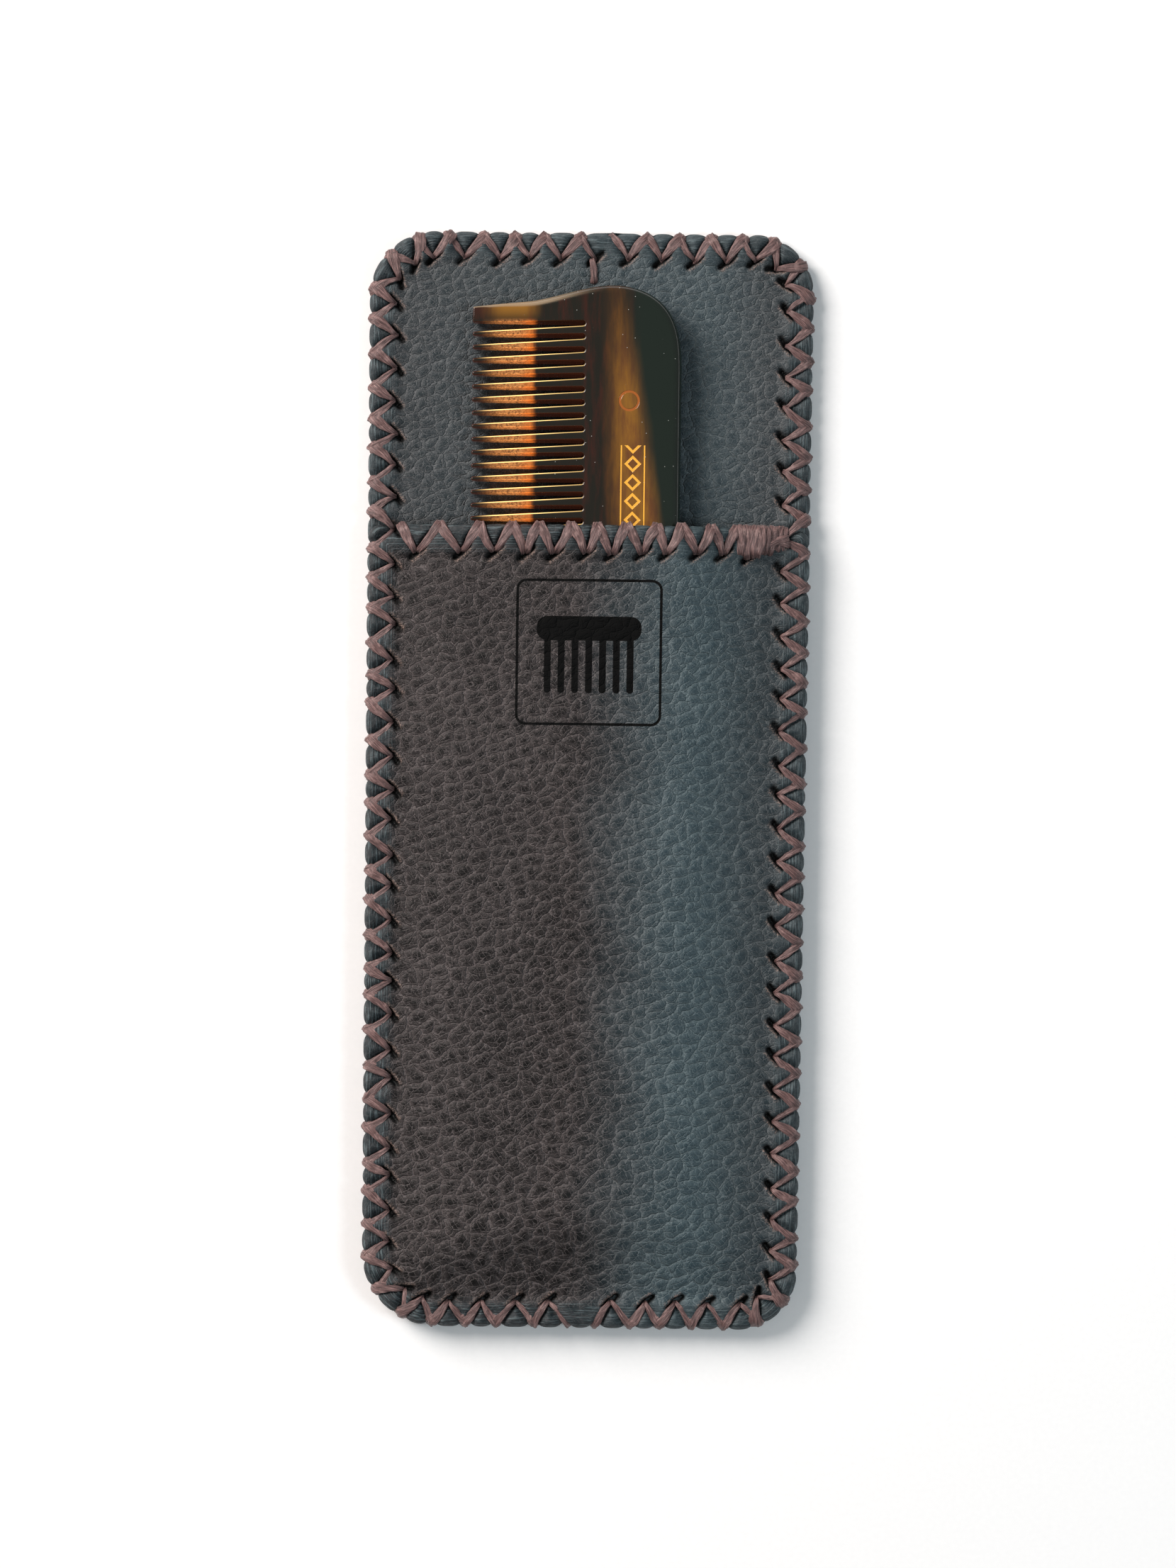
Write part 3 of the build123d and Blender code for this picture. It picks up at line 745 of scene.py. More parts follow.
def comb_finish(name, colours):
    """Polished tortoiseshell acetate: amber and near-black bands that run along the comb."""
    material, tree, shader = new_finish(name)
    where = node(tree, "ShaderNodeTexCoord")
    place = node(tree, "ShaderNodeVectorMath", {0: where.outputs["Object"], "Scale": 1 / MM},
                 operation="SCALE").outputs[0]
    axes = node(tree, "ShaderNodeSeparateXYZ", {0: place})
    x, y = axes.outputs[0], axes.outputs[1]
    long_place = node(tree, "ShaderNodeMapping", {"Vector": place, "Scale": (1.0, 0.16, 1.0)}).outputs[0]
    drift = noise(tree, long_place, 0.30, 3.0, 0.55).outputs["Fac"]
    cloud = noise(tree, long_place, 0.9, 4.0, 0.6).outputs["Fac"]
    tips, head = COMB_LOW[0], COMB_HIGH[1]
    ragged = maths(tree, "MULTIPLY_ADD", maths(tree, "SUBTRACT", cloud, 0.5), 1.5, x)
    amber_teeth = times(tree, ramp(tree, ragged, tips + 0.8, tips + 4.0),
                        ramp(tree, ragged, tips + 9.2, tips + 8.0))
    along = maths(tree, "MINIMUM", maths(tree, "SUBTRACT", head, y), 36.0)
    wander = maths(tree, "MULTIPLY_ADD", maths(tree, "SUBTRACT", drift, 0.5), 1.6, x)
    left = maths(tree, "MULTIPLY_ADD", along, -0.035, maths(tree, "SUBTRACT", wander, tips + 17.6))
    right = maths(tree, "MULTIPLY_ADD", along, -0.15, maths(tree, "SUBTRACT", wander, tips + 21.4))
    ribbon = times(tree, ramp(tree, left, -0.4, 3.6), ramp(tree, right, 1.0, -1.7))
    amber_back = times(tree, ribbon, ramp(tree, along, 0.6, 17.0, 0.30, 1.0))
    dark = mixed(tree, ramp(tree, cloud, 0.42, 0.70), colours.comb_black, colours.comb_red)
    green = mixed(tree, ramp(tree, x, tips + 20.0, tips + 24.0), dark, colours.comb_green)
    warm = mixed(tree, ramp(tree, cloud, 0.30, 0.72), colours.comb_brown, colours.comb_olive)
    tone = mixed(tree, amber_back, green, warm)
    neck = times(tree, ramp(tree, along, 5.6, 3.2), ramp(tree, ragged, tips + 10.0, tips + 7.0))
    neck_tone = mixed(tree, ramp(tree, ragged, tips + 0.8, tips + 4.5), colours.comb_red,
                      colours.comb_olive)
    tone = mixed(tree, times(tree, neck, 0.9), tone, neck_tone)
    # the cut sides of the gaps are painted lighter than the darker tops, as if light came through them,
    # with painted gold highlights on their upper bevels; the teeth get a painted glow through the emission
    facing = node(tree, "ShaderNodeSeparateXYZ", {0: where.outputs["Normal"]})
    in_teeth = times(tree, ramp(tree, x, tips + 16.0, tips + 15.4), ramp(tree, along, 4.6, 5.4))
    side = ramp(tree, maths(tree, "ABSOLUTE", facing.outputs[2]), 0.95, 0.75)
    speckle = noise(tree, place, 3.4, 3.0, 0.65).outputs["Fac"]
    lit = times(tree, in_teeth, side)
    hot = times(tree, ramp(tree, speckle, 0.34, 0.60), ramp(tree, x, tips + 1.0, tips + 6.0, 0.35, 1.0))
    glow_tone = mixed(tree, hot, colours.comb_brown, colours.comb_amber)
    glow_tone = mixed(tree, ramp(tree, ragged, tips + 6.2, tips + 8.8, 0.0, 0.85), glow_tone,
                      colours.comb_ember)
    ember = mixed(tree, amber_teeth, colours.comb_red, glow_tone)
    warm_top = mixed(tree, 0.5, glow_tone, colours.comb_brown)
    tops = mixed(tree, times(tree, in_teeth, 0.85), tone, mixed(tree, amber_teeth,
                 colours.comb_black, warm_top))
    tone = mixed(tree, lit, tops, ember)
    rim_light = times(tree, ramp(tree, facing.outputs[1], 0.1, 0.5),
                      ramp(tree, facing.outputs[2], 0.30, 0.45))
    rim_light = times(tree, times(tree, lit, rim_light),
                      times(tree, ramp(tree, x, tips + 0.4, tips + 3.5),
                            ramp(tree, x, tips + 14.0, tips + 8.5, 0.42, 1.0)))
    tone = mixed(tree, times(tree, rim_light, 0.9), tone, colours.comb_gold)
    glow = maths(tree, "MAXIMUM", times(tree, lit, 0.85),
                 times(tree, times(tree, in_teeth, amber_teeth), 0.5))
    painted_glow_colour = mixed(tree, glow, (0.0, 0.0, 0.0), tone)
    # painted highlight along the rounded edge of the head, where it faces the key lamp
    head_edge_highlight = times(tree, ramp(tree, facing.outputs[1], 0.15, 0.5),
                      ramp(tree, x, tips + 19.0, tips + 9.0))
    head_edge_highlight = times(tree, head_edge_highlight, ramp(tree, along, 4.2, 3.6))
    tone = mixed(tree, times(tree, head_edge_highlight, 0.75), tone, colours.comb_edge_highlight)
    # painted glow: the comb's teeth shine through emission, though it is no lamp
    tree.links.new(painted_glow_colour, shader.inputs["Emission Color"])
    shader.inputs["Emission Strength"].default_value = 0.85
    # inlaid line ornament along the back, with one ring
    ring_centre = (tips + 22.0, COMB_HIGH[1] - 16.2)
    ring = maths(tree, "ABSOLUTE", box_distance(tree, place, ring_centre, (1.3, 1.3), 1.3))
    ring = maths(tree, "SUBTRACT", ring, 0.17)
    start = COMB_HIGH[1] - 22.4
    lozenge_y = maths(tree, "WRAP", maths(tree, "SUBTRACT", y, start), 1.3, -1.3)
    lozenge_x = maths(tree, "ABSOLUTE", maths(tree, "SUBTRACT", x, tips + 22.6))
    lozenge = maths(tree, "ADD", maths(tree, "ABSOLUTE", lozenge_y), lozenge_x)
    lozenge = maths(tree, "SUBTRACT", maths(tree, "ABSOLUTE", maths(tree, "SUBTRACT", lozenge, 0.95)), 0.25)
    rails = maths(tree, "SUBTRACT", maths(tree, "ABSOLUTE", maths(tree, "SUBTRACT", lozenge_x, 1.62)), 0.10)
    chain = maths(tree, "MINIMUM", lozenge, rails)
    middle = maths(tree, "ABSOLUTE", maths(tree, "SUBTRACT", y, start - 26.0))
    chain = maths(tree, "MAXIMUM", chain, maths(tree, "SUBTRACT", middle, 26.0))
    upward = ramp(tree, facing.outputs[2], 0.6, 0.9)
    ring_mask = times(tree, ramp(tree, ring, 0.04, -0.04), upward)
    chain_mask = times(tree, ramp(tree, chain, 0.04, -0.04), upward)
    tone = mixed(tree, ring_mask, tone, colours.comb_ring)
    tone = mixed(tree, chain_mask, tone, colours.comb_inlay)
    # dust and hair scratches
    dust = times(tree, ramp(tree, cell_edges(tree, place, 2.9, "F1"), 0.022, 0.012),
                 ramp(tree, drift, 0.50, 0.58))
    tone = mixed(tree, times(tree, dust, 0.6), tone, (0.7, 0.7, 0.66))
    tree.links.new(tone, shader.inputs["Base Color"])
    streaks = node(tree, "ShaderNodeMapping",
                   {"Vector": place, "Rotation": (0, 0, 0.5), "Scale": (9, 0.5, 1)})
    scratches = noise(tree, streaks.outputs[0], 1.1, 4.0, 0.7).outputs["Fac"]
    tree.links.new(ramp(tree, scratches, 0.55, 0.75, 0.10, 0.26), shader.inputs["Roughness"])
    sunk = maths(tree, "MAXIMUM", ring_mask, chain_mask)
    height = maths(tree, "MULTIPLY_ADD", sunk, -1.0, times(tree, scratches, 0.06))
    bump = node(tree, "ShaderNodeBump", {"Height": height, "Strength": 0.6, "Distance": 0.12 * MM})
    tree.links.new(bump.outputs[0], shader.inputs["Normal"])
    shader.inputs["IOR"].default_value = 1.5
    shader.inputs["Coat Weight"].default_value = 0.15
    shader.inputs["Coat Roughness"].default_value = 0.04
    return material


# ---------------------------------------------------------------- leathers


class Colours:
    """The colours of one property group, as plain tuples."""

    def __init__(self, group):
        for key in group.bl_rna.properties.keys():
            if key not in ("rna_type", "name"):
                setattr(self, key, tuple(getattr(group, key)))


def build_leather(name, outline, top, bottom, roll, shift, node_name, material, marks, flip=False):
    """One leather with its grain pressed in, from its outline and its two heights."""
    points, faces, fields = leather_sheet(outline, top, bottom, roll)
    flat = points[:, :2]
    gap, raw = marks(flat)
    upper = (fields["grain"] > 0) | (fields["rim"] > 0)
    fields["gap"], fields["raw"] = gap * upper, raw * upper
    grow, swell = 1 + 0.0026 * (flat[:, 1] + 15), 0.0013 * (flat[:, 1] + 15) ** 2
    spread = np.column_stack([flat[:, 0] * grow, flat[:, 1] + swell]) + np.array(shift)
    fields["place"] = np.column_stack([spread, np.zeros(len(flat))])
    fields["plan"] = np.column_stack([flat, np.zeros(len(flat))])
    if flip:
        points[:, 2] *= -1
        faces = [face[::-1] for face in faces]
    piece = make_piece(name, points, faces, "sleeve", (node_name,), fields, material)
    press_grain(piece, 0.13 * MM)
    return piece


def edge_goals(lacing, keep):
    """Where the turns of thread pull the edge in."""
    goals = [leg[1] for side in lacing.sides for leg in side["legs"] if leg[2] and keep(leg[1])]
    return goals


def build_pocket_leather(props):
    """The pocket leather, formed over the comb and laced along its mouth and its rim."""
    lacing, sizes = Lacing(props), props.sleeve
    outline = panel_outline(sizes, 0.30)
    outline.dent(edge_goals(lacing, lambda goal: goal[1] < MOUTH - 1), DENT, 0.95)
    outline.dent([leg[1] for leg in lacing.mouth["legs"] if leg[2]], 0.30, 0.9)
    parts = [*lacing.sides, lacing.mouth]

    def top(flat, depth):
        rise = lacing.relief(flat, depth, parts, 21)[0]
        return panel_top(flat[:, 0], flat[:, 1]) + np.maximum(rise, -0.95)

    def marks(flat):
        return lacing.relief(flat, outline.depth(flat), parts, 21)[1:]

    colours = Colours(props.colours)
    finish = leather_finish("pocket_leather", colours, (-3.0, 16.0), sign=(0.22, MOUTH - 17.7))
    return build_leather("pocket_leather", outline, top, pocket_room, sizes.roll / MM, (0, 0),
                         "front_panel", finish, marks)


def comb_way(x, y):
    """1 at the sleeve's open end where the comb slides out over the lacing, easing to 0 beside it."""
    across = smoothstep(COMB_LOW[0] - 4.2, COMB_LOW[0] - 1.6, x)
    across = across * smoothstep(COMB_HIGH[0] + 4.2, COMB_HIGH[0] + 1.6, x)
    return across * smoothstep(HALF_LENGTH - 8.2, HALF_LENGTH - 6.4, y)


def build_lining_leather(props):
    """The lining leather under the comb, seen above the pocket's mouth."""
    lacing, sizes = Lacing(props), props.sleeve
    outline = whole_outline(sizes, 0.34)
    outline.dent(edge_goals(lacing, lambda goal: True), DENT, 0.95)

    def top(flat, depth):
        rise = lacing.relief(flat, depth, lacing.sides, 22)[0]
        way = comb_way(flat[:, 0], flat[:, 1])
        rise = rise - COMB_CLEARANCE * way * smoothstep(lacing.inset + 1.6, lacing.inset - 0.8, depth)
        rise = np.minimum(rise, 0.10 + 9 * (1 - way)) - 0.34 * bell(segment_distance(flat, *TACK), 0.8)
        open_part = smoothstep(MOUTH - 0.4, MOUTH + 0.6, flat[:, 1])
        soft = 0.09 * lumps(flat[:, 0], flat[:, 1], 9, 7) - 0.09
        return BED + (np.maximum(rise, -0.95) + soft) * open_part - 0.03 * (1 - open_part)

    def bottom(x, y):
        return np.full(len(x), LEATHER)

    def marks(flat):
        return lacing.relief(flat, outline.depth(flat), lacing.sides, 22)[1:]

    finish = leather_finish("lining_leather", Colours(props.colours), (-80.0, 60.0), 0.06)
    return build_leather("lining_leather", outline, top, bottom, sizes.roll / MM, (217, 95),
                         "back_lining", finish, marks)


def build_back_leather(props):
    """The back leather, grain side down, with the lacing sunk into its rim."""
    lacing, sizes = Lacing(props), props.sleeve
    outline = whole_outline(sizes, 0.34)
    outline.dent(edge_goals(lacing, lambda goal: True), DENT, 0.95)

    def top(flat, depth):
        rise = lacing.relief(flat, depth, lacing.sides, 23)[0]
        rim = smoothstep(lacing.inset + 2.2, lacing.inset - 0.4, depth)
        soft = 0.05 * lumps(flat[:, 0], flat[:, 1], 11, 8) - 0.05
        return np.clip(soft - 0.40 * rim + rise, -1.05, -0.01)

    def bottom(x, y):
        return np.full(len(x), -LEATHER)

    def marks(flat):
        return lacing.relief(flat, outline.depth(flat), lacing.sides, 23)[1:]

    finish = leather_finish("back_leather", Colours(props.colours), (-60.0, 60.0), 0.05)
    return build_leather("back_leather", outline, top, bottom, sizes.roll / MM * 0.8, (431, 160),
                         "back_outer", finish, marks, flip=True)


# ---------------------------------------------------------------- threads


def catmull(points, count):
    """A smooth closed loop through the points, evenly spaced along its length."""
    loop = []
    size = len(points)
    for k in range(size):
        a, b, c, d = (points[(k + step) % size] for step in (-1, 0, 1, 2))
        for part in np.arange(0, 1, 0.05):
            loop.append(0.5 * (2 * b + (c - a) * part + (2 * a - 5 * b + 4 * c - d) * part**2
                               + (3 * b - a - 3 * c + d) * part**3))
    loop = np.array(loop + [loop[0]])
    run = np.concatenate([[0], np.cumsum(np.linalg.norm(np.diff(loop, axis=0), axis=1))])
    at = np.arange(count) * run[-1] / count
    return np.stack([np.interp(at, run, loop[:, k]) for k in range(loop.shape[1])], axis=1), at


def band(hole, goal, levels, widths, rng, samples=36, around=26, strands=9):
    """A flat many-stranded thread, from a hole over to the edge, round it and back underneath.

    levels are (share of the way, height) pairs round the whole loop.
    """
    reach = np.linalg.norm(goal - hole)
    ahead = (goal - hole) / reach
    path, at = catmull(np.array([(t * reach, z) for t, z in levels], float), samples)
    bow = rng.uniform(-0.28, 0.28)
    part = np.clip(path[:, 0] / reach, 0, 1)
    sideways = bow * np.sin(math.pi * part) + 0.05 * lumps(at, at * 0, 1.3, int(rng.integers(1e6)))
    aside = np.array([-ahead[1], ahead[0], 0])
    forward = np.array([ahead[0], ahead[1], 0])
    centre = np.array([*hole, 0]) + path[:, :1] * forward + sideways[:, None] * aside
    centre[:, 2] = path[:, 1]
    tangent = unit(np.roll(centre, -1, axis=0) - np.roll(centre, 1, axis=0))
    normal = unit(np.cross(tangent, aside))
    normal *= -1
    half = widths[0] + (widths[1] - widths[0]) * smoothstep(0.0, 0.75, part)
    half = half * (1 + 0.12 * lumps(at, at * 0 + 3, 0.9, int(rng.integers(1e6))))
    thick = 0.17 + 0.05 * smoothstep(0.5, 0.0, part)
    angle = np.arange(around) * 2 * math.pi / around
    twist = rng.uniform(0.25, 0.5) * rng.choice([-1, 1])
    offset = rng.uniform(0, 6)
    flat = np.sign(np.cos(angle)) * np.abs(np.cos(angle)) ** 0.8
    round_part = np.sign(np.sin(angle)) * np.abs(np.sin(angle)) ** 0.9
    phase = strands * (flat[None, :] * 1.2 + twist * at[:, None]) + offset
    ridge = 0.5 + 0.5 * np.cos(phase)
    groove = 1 - ridge
    fuzz = 0.03 * lumps(at[:, None] * 3 + flat * 4, at[:, None] + angle, 1.0, int(rng.integers(1e6)))
    across = half[:, None] * flat * (1 + fuzz)
    up = thick[:, None] * round_part * (0.78 + 0.42 * ridge)
    up = up + 0.05 * np.cos(phase * 0.37 + 1.0) * np.abs(np.sin(angle))
    points = centre[:, None] + across[..., None] * aside + up[..., None] * normal[:, None]
    lay = np.stack([at[:, None] * 0.55 + 0 * flat, (flat * half[:, None] + twist * 0.2 * at[:, None]) * 7.5,
                    np.full(across.shape, offset * 9)], axis=-1)
    i, j = np.meshgrid(np.arange(samples), np.arange(around), indexing="ij")
    a = i * around + j
    b = i * around + (j + 1) % around
    c = ((i + 1) % samples) * around + (j + 1) % around
    d = ((i + 1) % samples) * around + j
    faces = np.stack([a, b, c, d], axis=-1).reshape(-1, 4)
    return points.reshape(-1, 3), faces, lay.reshape(-1, 3), groove.ravel()


def right_way_out(points, faces):
    """The faces turned so that they look out of their closed shape."""
    a, b, c = (points[faces[:, k]] for k in range(3))
    d = points[faces[:, 3]]
    volume = (a * np.cross(b, c)).sum() + (a * np.cross(c, d)).sum()
    return faces if volume > 0 else faces[:, ::-1]


def thread_piece(name, bands, node_name, material):
    """All the turns of one thread as a piece."""
    points, faces, lays, grooves, base = [], [], [], [], 0
    for spots, quads, lay, groove in bands:
        points.append(spots)
        faces.append(right_way_out(spots, quads) + base)
        lays.append(lay)
        grooves.append(groove)
        base += len(spots)
    fields = {"lay": np.concatenate(lays), "groove": np.concatenate(grooves)}
    return make_piece(name, np.concatenate(points), np.concatenate(faces).tolist(), "sleeve",
                      (node_name,), fields, material)


def edge_levels(upper, lift, under=0.30):
    """Heights round one turn over the sleeve's edge, as shares of the way out from the hole."""
    middle = (upper + under) / 2
    return [
        (-0.02, upper - 1.3), (0.03, upper - 0.55), (0.17, upper + 0.05 + lift), (0.5, upper + 0.12 + lift),
        (0.80, upper + 0.06 + lift), (0.98, upper - 0.42 + lift / 2), (1.06, middle + 0.35),
        (1.06, middle - 0.35), (0.98, under + 0.30), (0.80, under + 0.02), (0.5, under - 0.02),
        (0.17, under + 0.06), (0.03, under + 0.5), (-0.02, under + 1.1),
    ]


def side_bands(lacing, side, seed):
    """The turns down one side of the sleeve."""
    rng = np.random.default_rng(seed)
    bands = []
    for number, (hole, goal, _) in enumerate(lacing.sides[side]["legs"]):
        upper = RIM_TOP if hole[1] < MOUTH - 0.3 else BED
        upper -= COMB_CLEARANCE * float(max(comb_way(*hole), comb_way(*goal)))
        over = bool(number % 2)
        lift, widths = (0.10, (0.34, 0.80)) if over else (-0.06, (0.28, 0.62))
        out = lacing.sides[side]["out"][lacing.sides[side]["legs_of"][number]]
        rim = turned(out)
        past = np.sign((goal - hole) @ rim) * rim * rng.uniform(0.15, 0.5)
        meet = goal - out * (DENT - 0.22) + past
        start = hole + rng.uniform(-0.12, 0.12, 2) - out * 0.1
        bands.append(band(start, meet, edge_levels(upper, lift), widths, rng))
    return bands


def tack_band(rng):
    """The single upright stitch inside the sleeve's top middle."""
    levels = [(0.0, BED - 0.7), (0.03, BED - 0.35), (0.2, BED - 0.10), (0.5, BED - 0.09), (0.8, BED - 0.12),
              (0.97, BED - 0.35), (1.0, BED - 0.7), (0.97, BED - 1.0), (0.5, BED - 1.1), (0.03, BED - 1.0)]
    return band(TACK[0][0], TACK[1][0], levels, (0.40, 0.50), rng)


def build_edge_thread(props, side):
    """One length of the edge lacing."""
    lacing = Lacing(props)
    bands = side_bands(lacing, side, SEED + 5 + side)
    if side == 0:
        bands.append(tack_band(np.random.default_rng(SEED + 9)))
    word = ("left", "right")[side]
    finish = thread_finish(f"{word}_thread_fibre", Colours(props.colours))
    return thread_piece(f"{word}_lacing", bands, f"edge_thread_{word}", finish)


def mouth_levels(hole, goal, lift):
    """Heights round one turn over the pocket's mouth."""
    shares = (-0.02, 0.03, 0.17, 0.5, 0.80, 0.96, 1.05, 1.05, 0.97, 0.80, 0.5, 0.17, 0.03, -0.02)
    above = (-1.0, -0.45, 0.10, 0.16, 0.12, -0.25, -0.62, None, None, None, None, None, None, None)
    below = (0.35, -0.05, -0.12, -0.12, -0.10, 0.10, 0.55)
    levels = []
    for number, share in enumerate(shares):
        spot = hole + (goal - hole) * min(max(share, 0), 1)
        if above[number] is not None:
            rise = lift if 1 < number < 6 else lift * 0.4
            levels.append((share, float(panel_top(spot[:1], spot[1:])[0]) + above[number] + rise))
        else:
            room = float(pocket_room(spot[:1], spot[1:])[0])
            levels.append((share, max(room + below[number - 7], BED + 0.16)))
    return levels


# round a wrap that crosses the bundle: share of its length, height, and whether it takes the lift
CROSSING_LEVELS = (
    (0.0, -0.5, 1), (0.08, -0.05, 1), (0.3, 0.14, 1), (0.7, 0.16, 1), (0.93, -0.05, 1),
    (1.0, -0.5, 1), (0.95, -0.5, 0), (0.5, -0.5, 0), (0.05, -0.5, 0),
)


def build_mouth_thread(props):
    """The lacing along the pocket's mouth, with its bundle of finishing wraps at the right."""
    lacing = Lacing(props)
    rng = np.random.default_rng(SEED + 7)
    bands = []
    for number, (hole, goal, ahead) in enumerate(lacing.mouth["legs"]):
        lift = 0.12 if number % 2 else 0.0
        start = hole + rng.uniform(-0.12, 0.12, 2) + np.array([0.22 if ahead else -0.22, 0])
        bands.append(band(start, goal - (0, 0.1), mouth_levels(start, goal, lift), (0.46, 0.74), rng))
    wraps = props.lacing.finishing_wraps
    for number in range(wraps):
        part = number / (wraps - 1)
        start = np.array([21.2 + 5.8 * part, MOUTH - 4.1 + 0.6 * part]) + rng.uniform(-0.25, 0.25, 2)
        goal = np.array([21.6 + 5.7 * part + rng.uniform(-0.3, 0.3), MOUTH + 0.15])
        lift = 0.25 + 0.55 * math.sin(math.pi * min(part * 1.15, 1)) + rng.uniform(-0.1, 0.15)
        bands.append(band(start, goal, mouth_levels(start, goal, lift), (0.50, 0.64), rng))
    crossing = (((22.9, MOUTH - 2.6), (27.9, MOUTH - 1.2), 0.75),
                ((23.2, MOUTH - 1.0), (28.1, MOUTH - 2.2), 0.62))
    for start, goal, lift in crossing:
        start, goal = np.array(start), np.array(goal)
        top = []
        for share, height, raised in CROSSING_LEVELS:
            spot = start + (goal - start) * share
            top.append((share, float(panel_top(*np.split(spot, 2))[0]) + height + lift * raised))
        bands.append(band(start, goal, top, (0.45, 0.5), rng))
    finish = thread_finish("mouth_thread_fibre", Colours(props.colours))
    return thread_piece("mouth_lacing", bands, "mouth_thread", finish)


# ---------------------------------------------------------------- comb


def hermite(start, end, leave, arrive, count=24):
    """A curve from start to end with these end directions, without its last point."""
    start, end, leave, arrive = (np.array(each, float) for each in (start, end, leave, arrive))
    part = np.arange(count)[:, None] / count
    size = np.linalg.norm(end - start)
    a = 2 * part**3 - 3 * part**2 + 1
    b = part**3 - 2 * part**2 + part
    c = part**3 - part**2
    return a * start + b * leave * size + (1 - a) * end + c * arrive * size


def rounded(corner, before, after, radius, steps):
    """The arc that rounds one corner between its neighbours."""
    back, on = unit(before - corner), unit(after - corner)
    half_angle = math.acos(np.clip(back @ on, -1, 1)) / 2
    reach = radius / math.tan(half_angle)
    centre = corner + unit(back + on) * radius / math.sin(half_angle)
    first, last = corner + back * reach - centre, corner + on * reach - centre
    start = math.atan2(first[1], first[0])
    sweep = (math.atan2(last[1], last[0]) - start + math.pi) % (2 * math.pi) - math.pi
    angles = start + sweep * np.arange(steps + 1) / steps
    return [centre + radius * np.array([math.cos(angle), math.sin(angle)]) for angle in angles]


def comb_plan(sizes):
    """The comb's outline, anticlockwise, and how far its edge is rounded at each point."""
    tip, spine, top = COMB_LOW[0], COMB_HIGH[0], COMB_HIGH[1]
    root = tip + sizes.tooth_length / MM
    pitch, count = sizes.tooth_pitch / MM, sizes.gaps
    guard = top - 3.1
    neck = unit(np.array([7.5, 0.8]))
    crown = np.array([tip + 19.8, top])
    shoulder = np.array([tip + 27.2, top - 3.2])
    flank = np.array([spine, top - 13])
    slope = unit(np.array([0.62, -0.78]))
    rise = [
        hermite(flank, shoulder, (0, 1.0), -slope * 1.02, 22),
        hermite(shoulder, crown, -slope * 1.02, (-1.05, 0), 22),
        hermite(crown, (tip + 7.5, guard + 0.8), (-1, 0), -neck, 26),
        hermite((tip + 7.5, guard + 0.8), (tip, guard), -neck, -neck, 10),
    ]
    head = np.concatenate(rise)
    middle = COMB_MIDDLE
    foot = head[::-1] * (1, -1) + (0, 2 * middle)
    lean = math.radians(2.0)
    along, up = np.array([math.cos(lean), math.sin(lean)]), np.array([-math.sin(lean), math.cos(lean)])
    narrow, wide = sizes.gap_root / MM / 2, sizes.gap_tip / MM / 2
    reach = (root - tip) / math.cos(lean)
    comb_side = []
    corners = [np.array([tip, guard])]
    arcs = []
    for k in range(count):
        place = np.array([root, middle + ((count - 1) / 2 - k) * pitch])
        upper_reach = reach + wide * math.tan(lean)
        lower_reach = reach - wide * math.tan(lean)
        corners.append(place - along * upper_reach + up * wide)
        corners.append(place - along * lower_reach - up * wide)
        angles = np.radians(np.linspace(90, -90, 11))
        arcs.append([place + narrow * (along * math.cos(a) + up * math.sin(a)) for a in angles])
    corners.append(np.array([tip, 2 * middle - guard]))
    blunt = sizes.tip_round / MM
    first_inner = head[-1]
    comb_side += rounded(corners[0], first_inner, corners[1], blunt, 5)
    for k in range(count):
        above, below = corners[2 * k + 1], corners[2 * k + 2]
        previous, following = corners[2 * k], corners[2 * k + 3]
        arc = arcs[k]
        comb_side += rounded(above, previous, arc[0], blunt, 6)
        comb_side += arc
        comb_side += rounded(below, arc[-1], following, blunt, 6)
    comb_side += rounded(corners[-1], corners[-2], foot[1], blunt, 5)
    outline = np.concatenate([head, comb_side, foot[1:]])
    soft = smoothstep(tip + 2.5, tip + 9.5, outline[:, 0])
    soft[len(head):len(head) + len(comb_side)] = 0
    return outline, soft


def gap_rows(outline, sizes):
    """1 at the outline points between the teeth, 0 elsewhere."""
    root = COMB_LOW[0] + (sizes.tooth_length + sizes.gap_root) / MM
    reach = sizes.gaps * sizes.tooth_pitch / MM / 2 + 0.1
    return ((outline[:, 0] < root) & (np.abs(outline[:, 1] - COMB_MIDDLE) < reach)).astype(float)


def comb_height(x):
    """The comb's thickness over its width: a wedge in the teeth, level over the back."""
    tip = COMB_LOW[0]
    knots = (tip, tip + 15.4, tip + 18.5, tip + 26.0, COMB_HIGH[0])
    return np.interp(x, knots, (2.0, 3.8, 4.0, 3.97, 3.8))


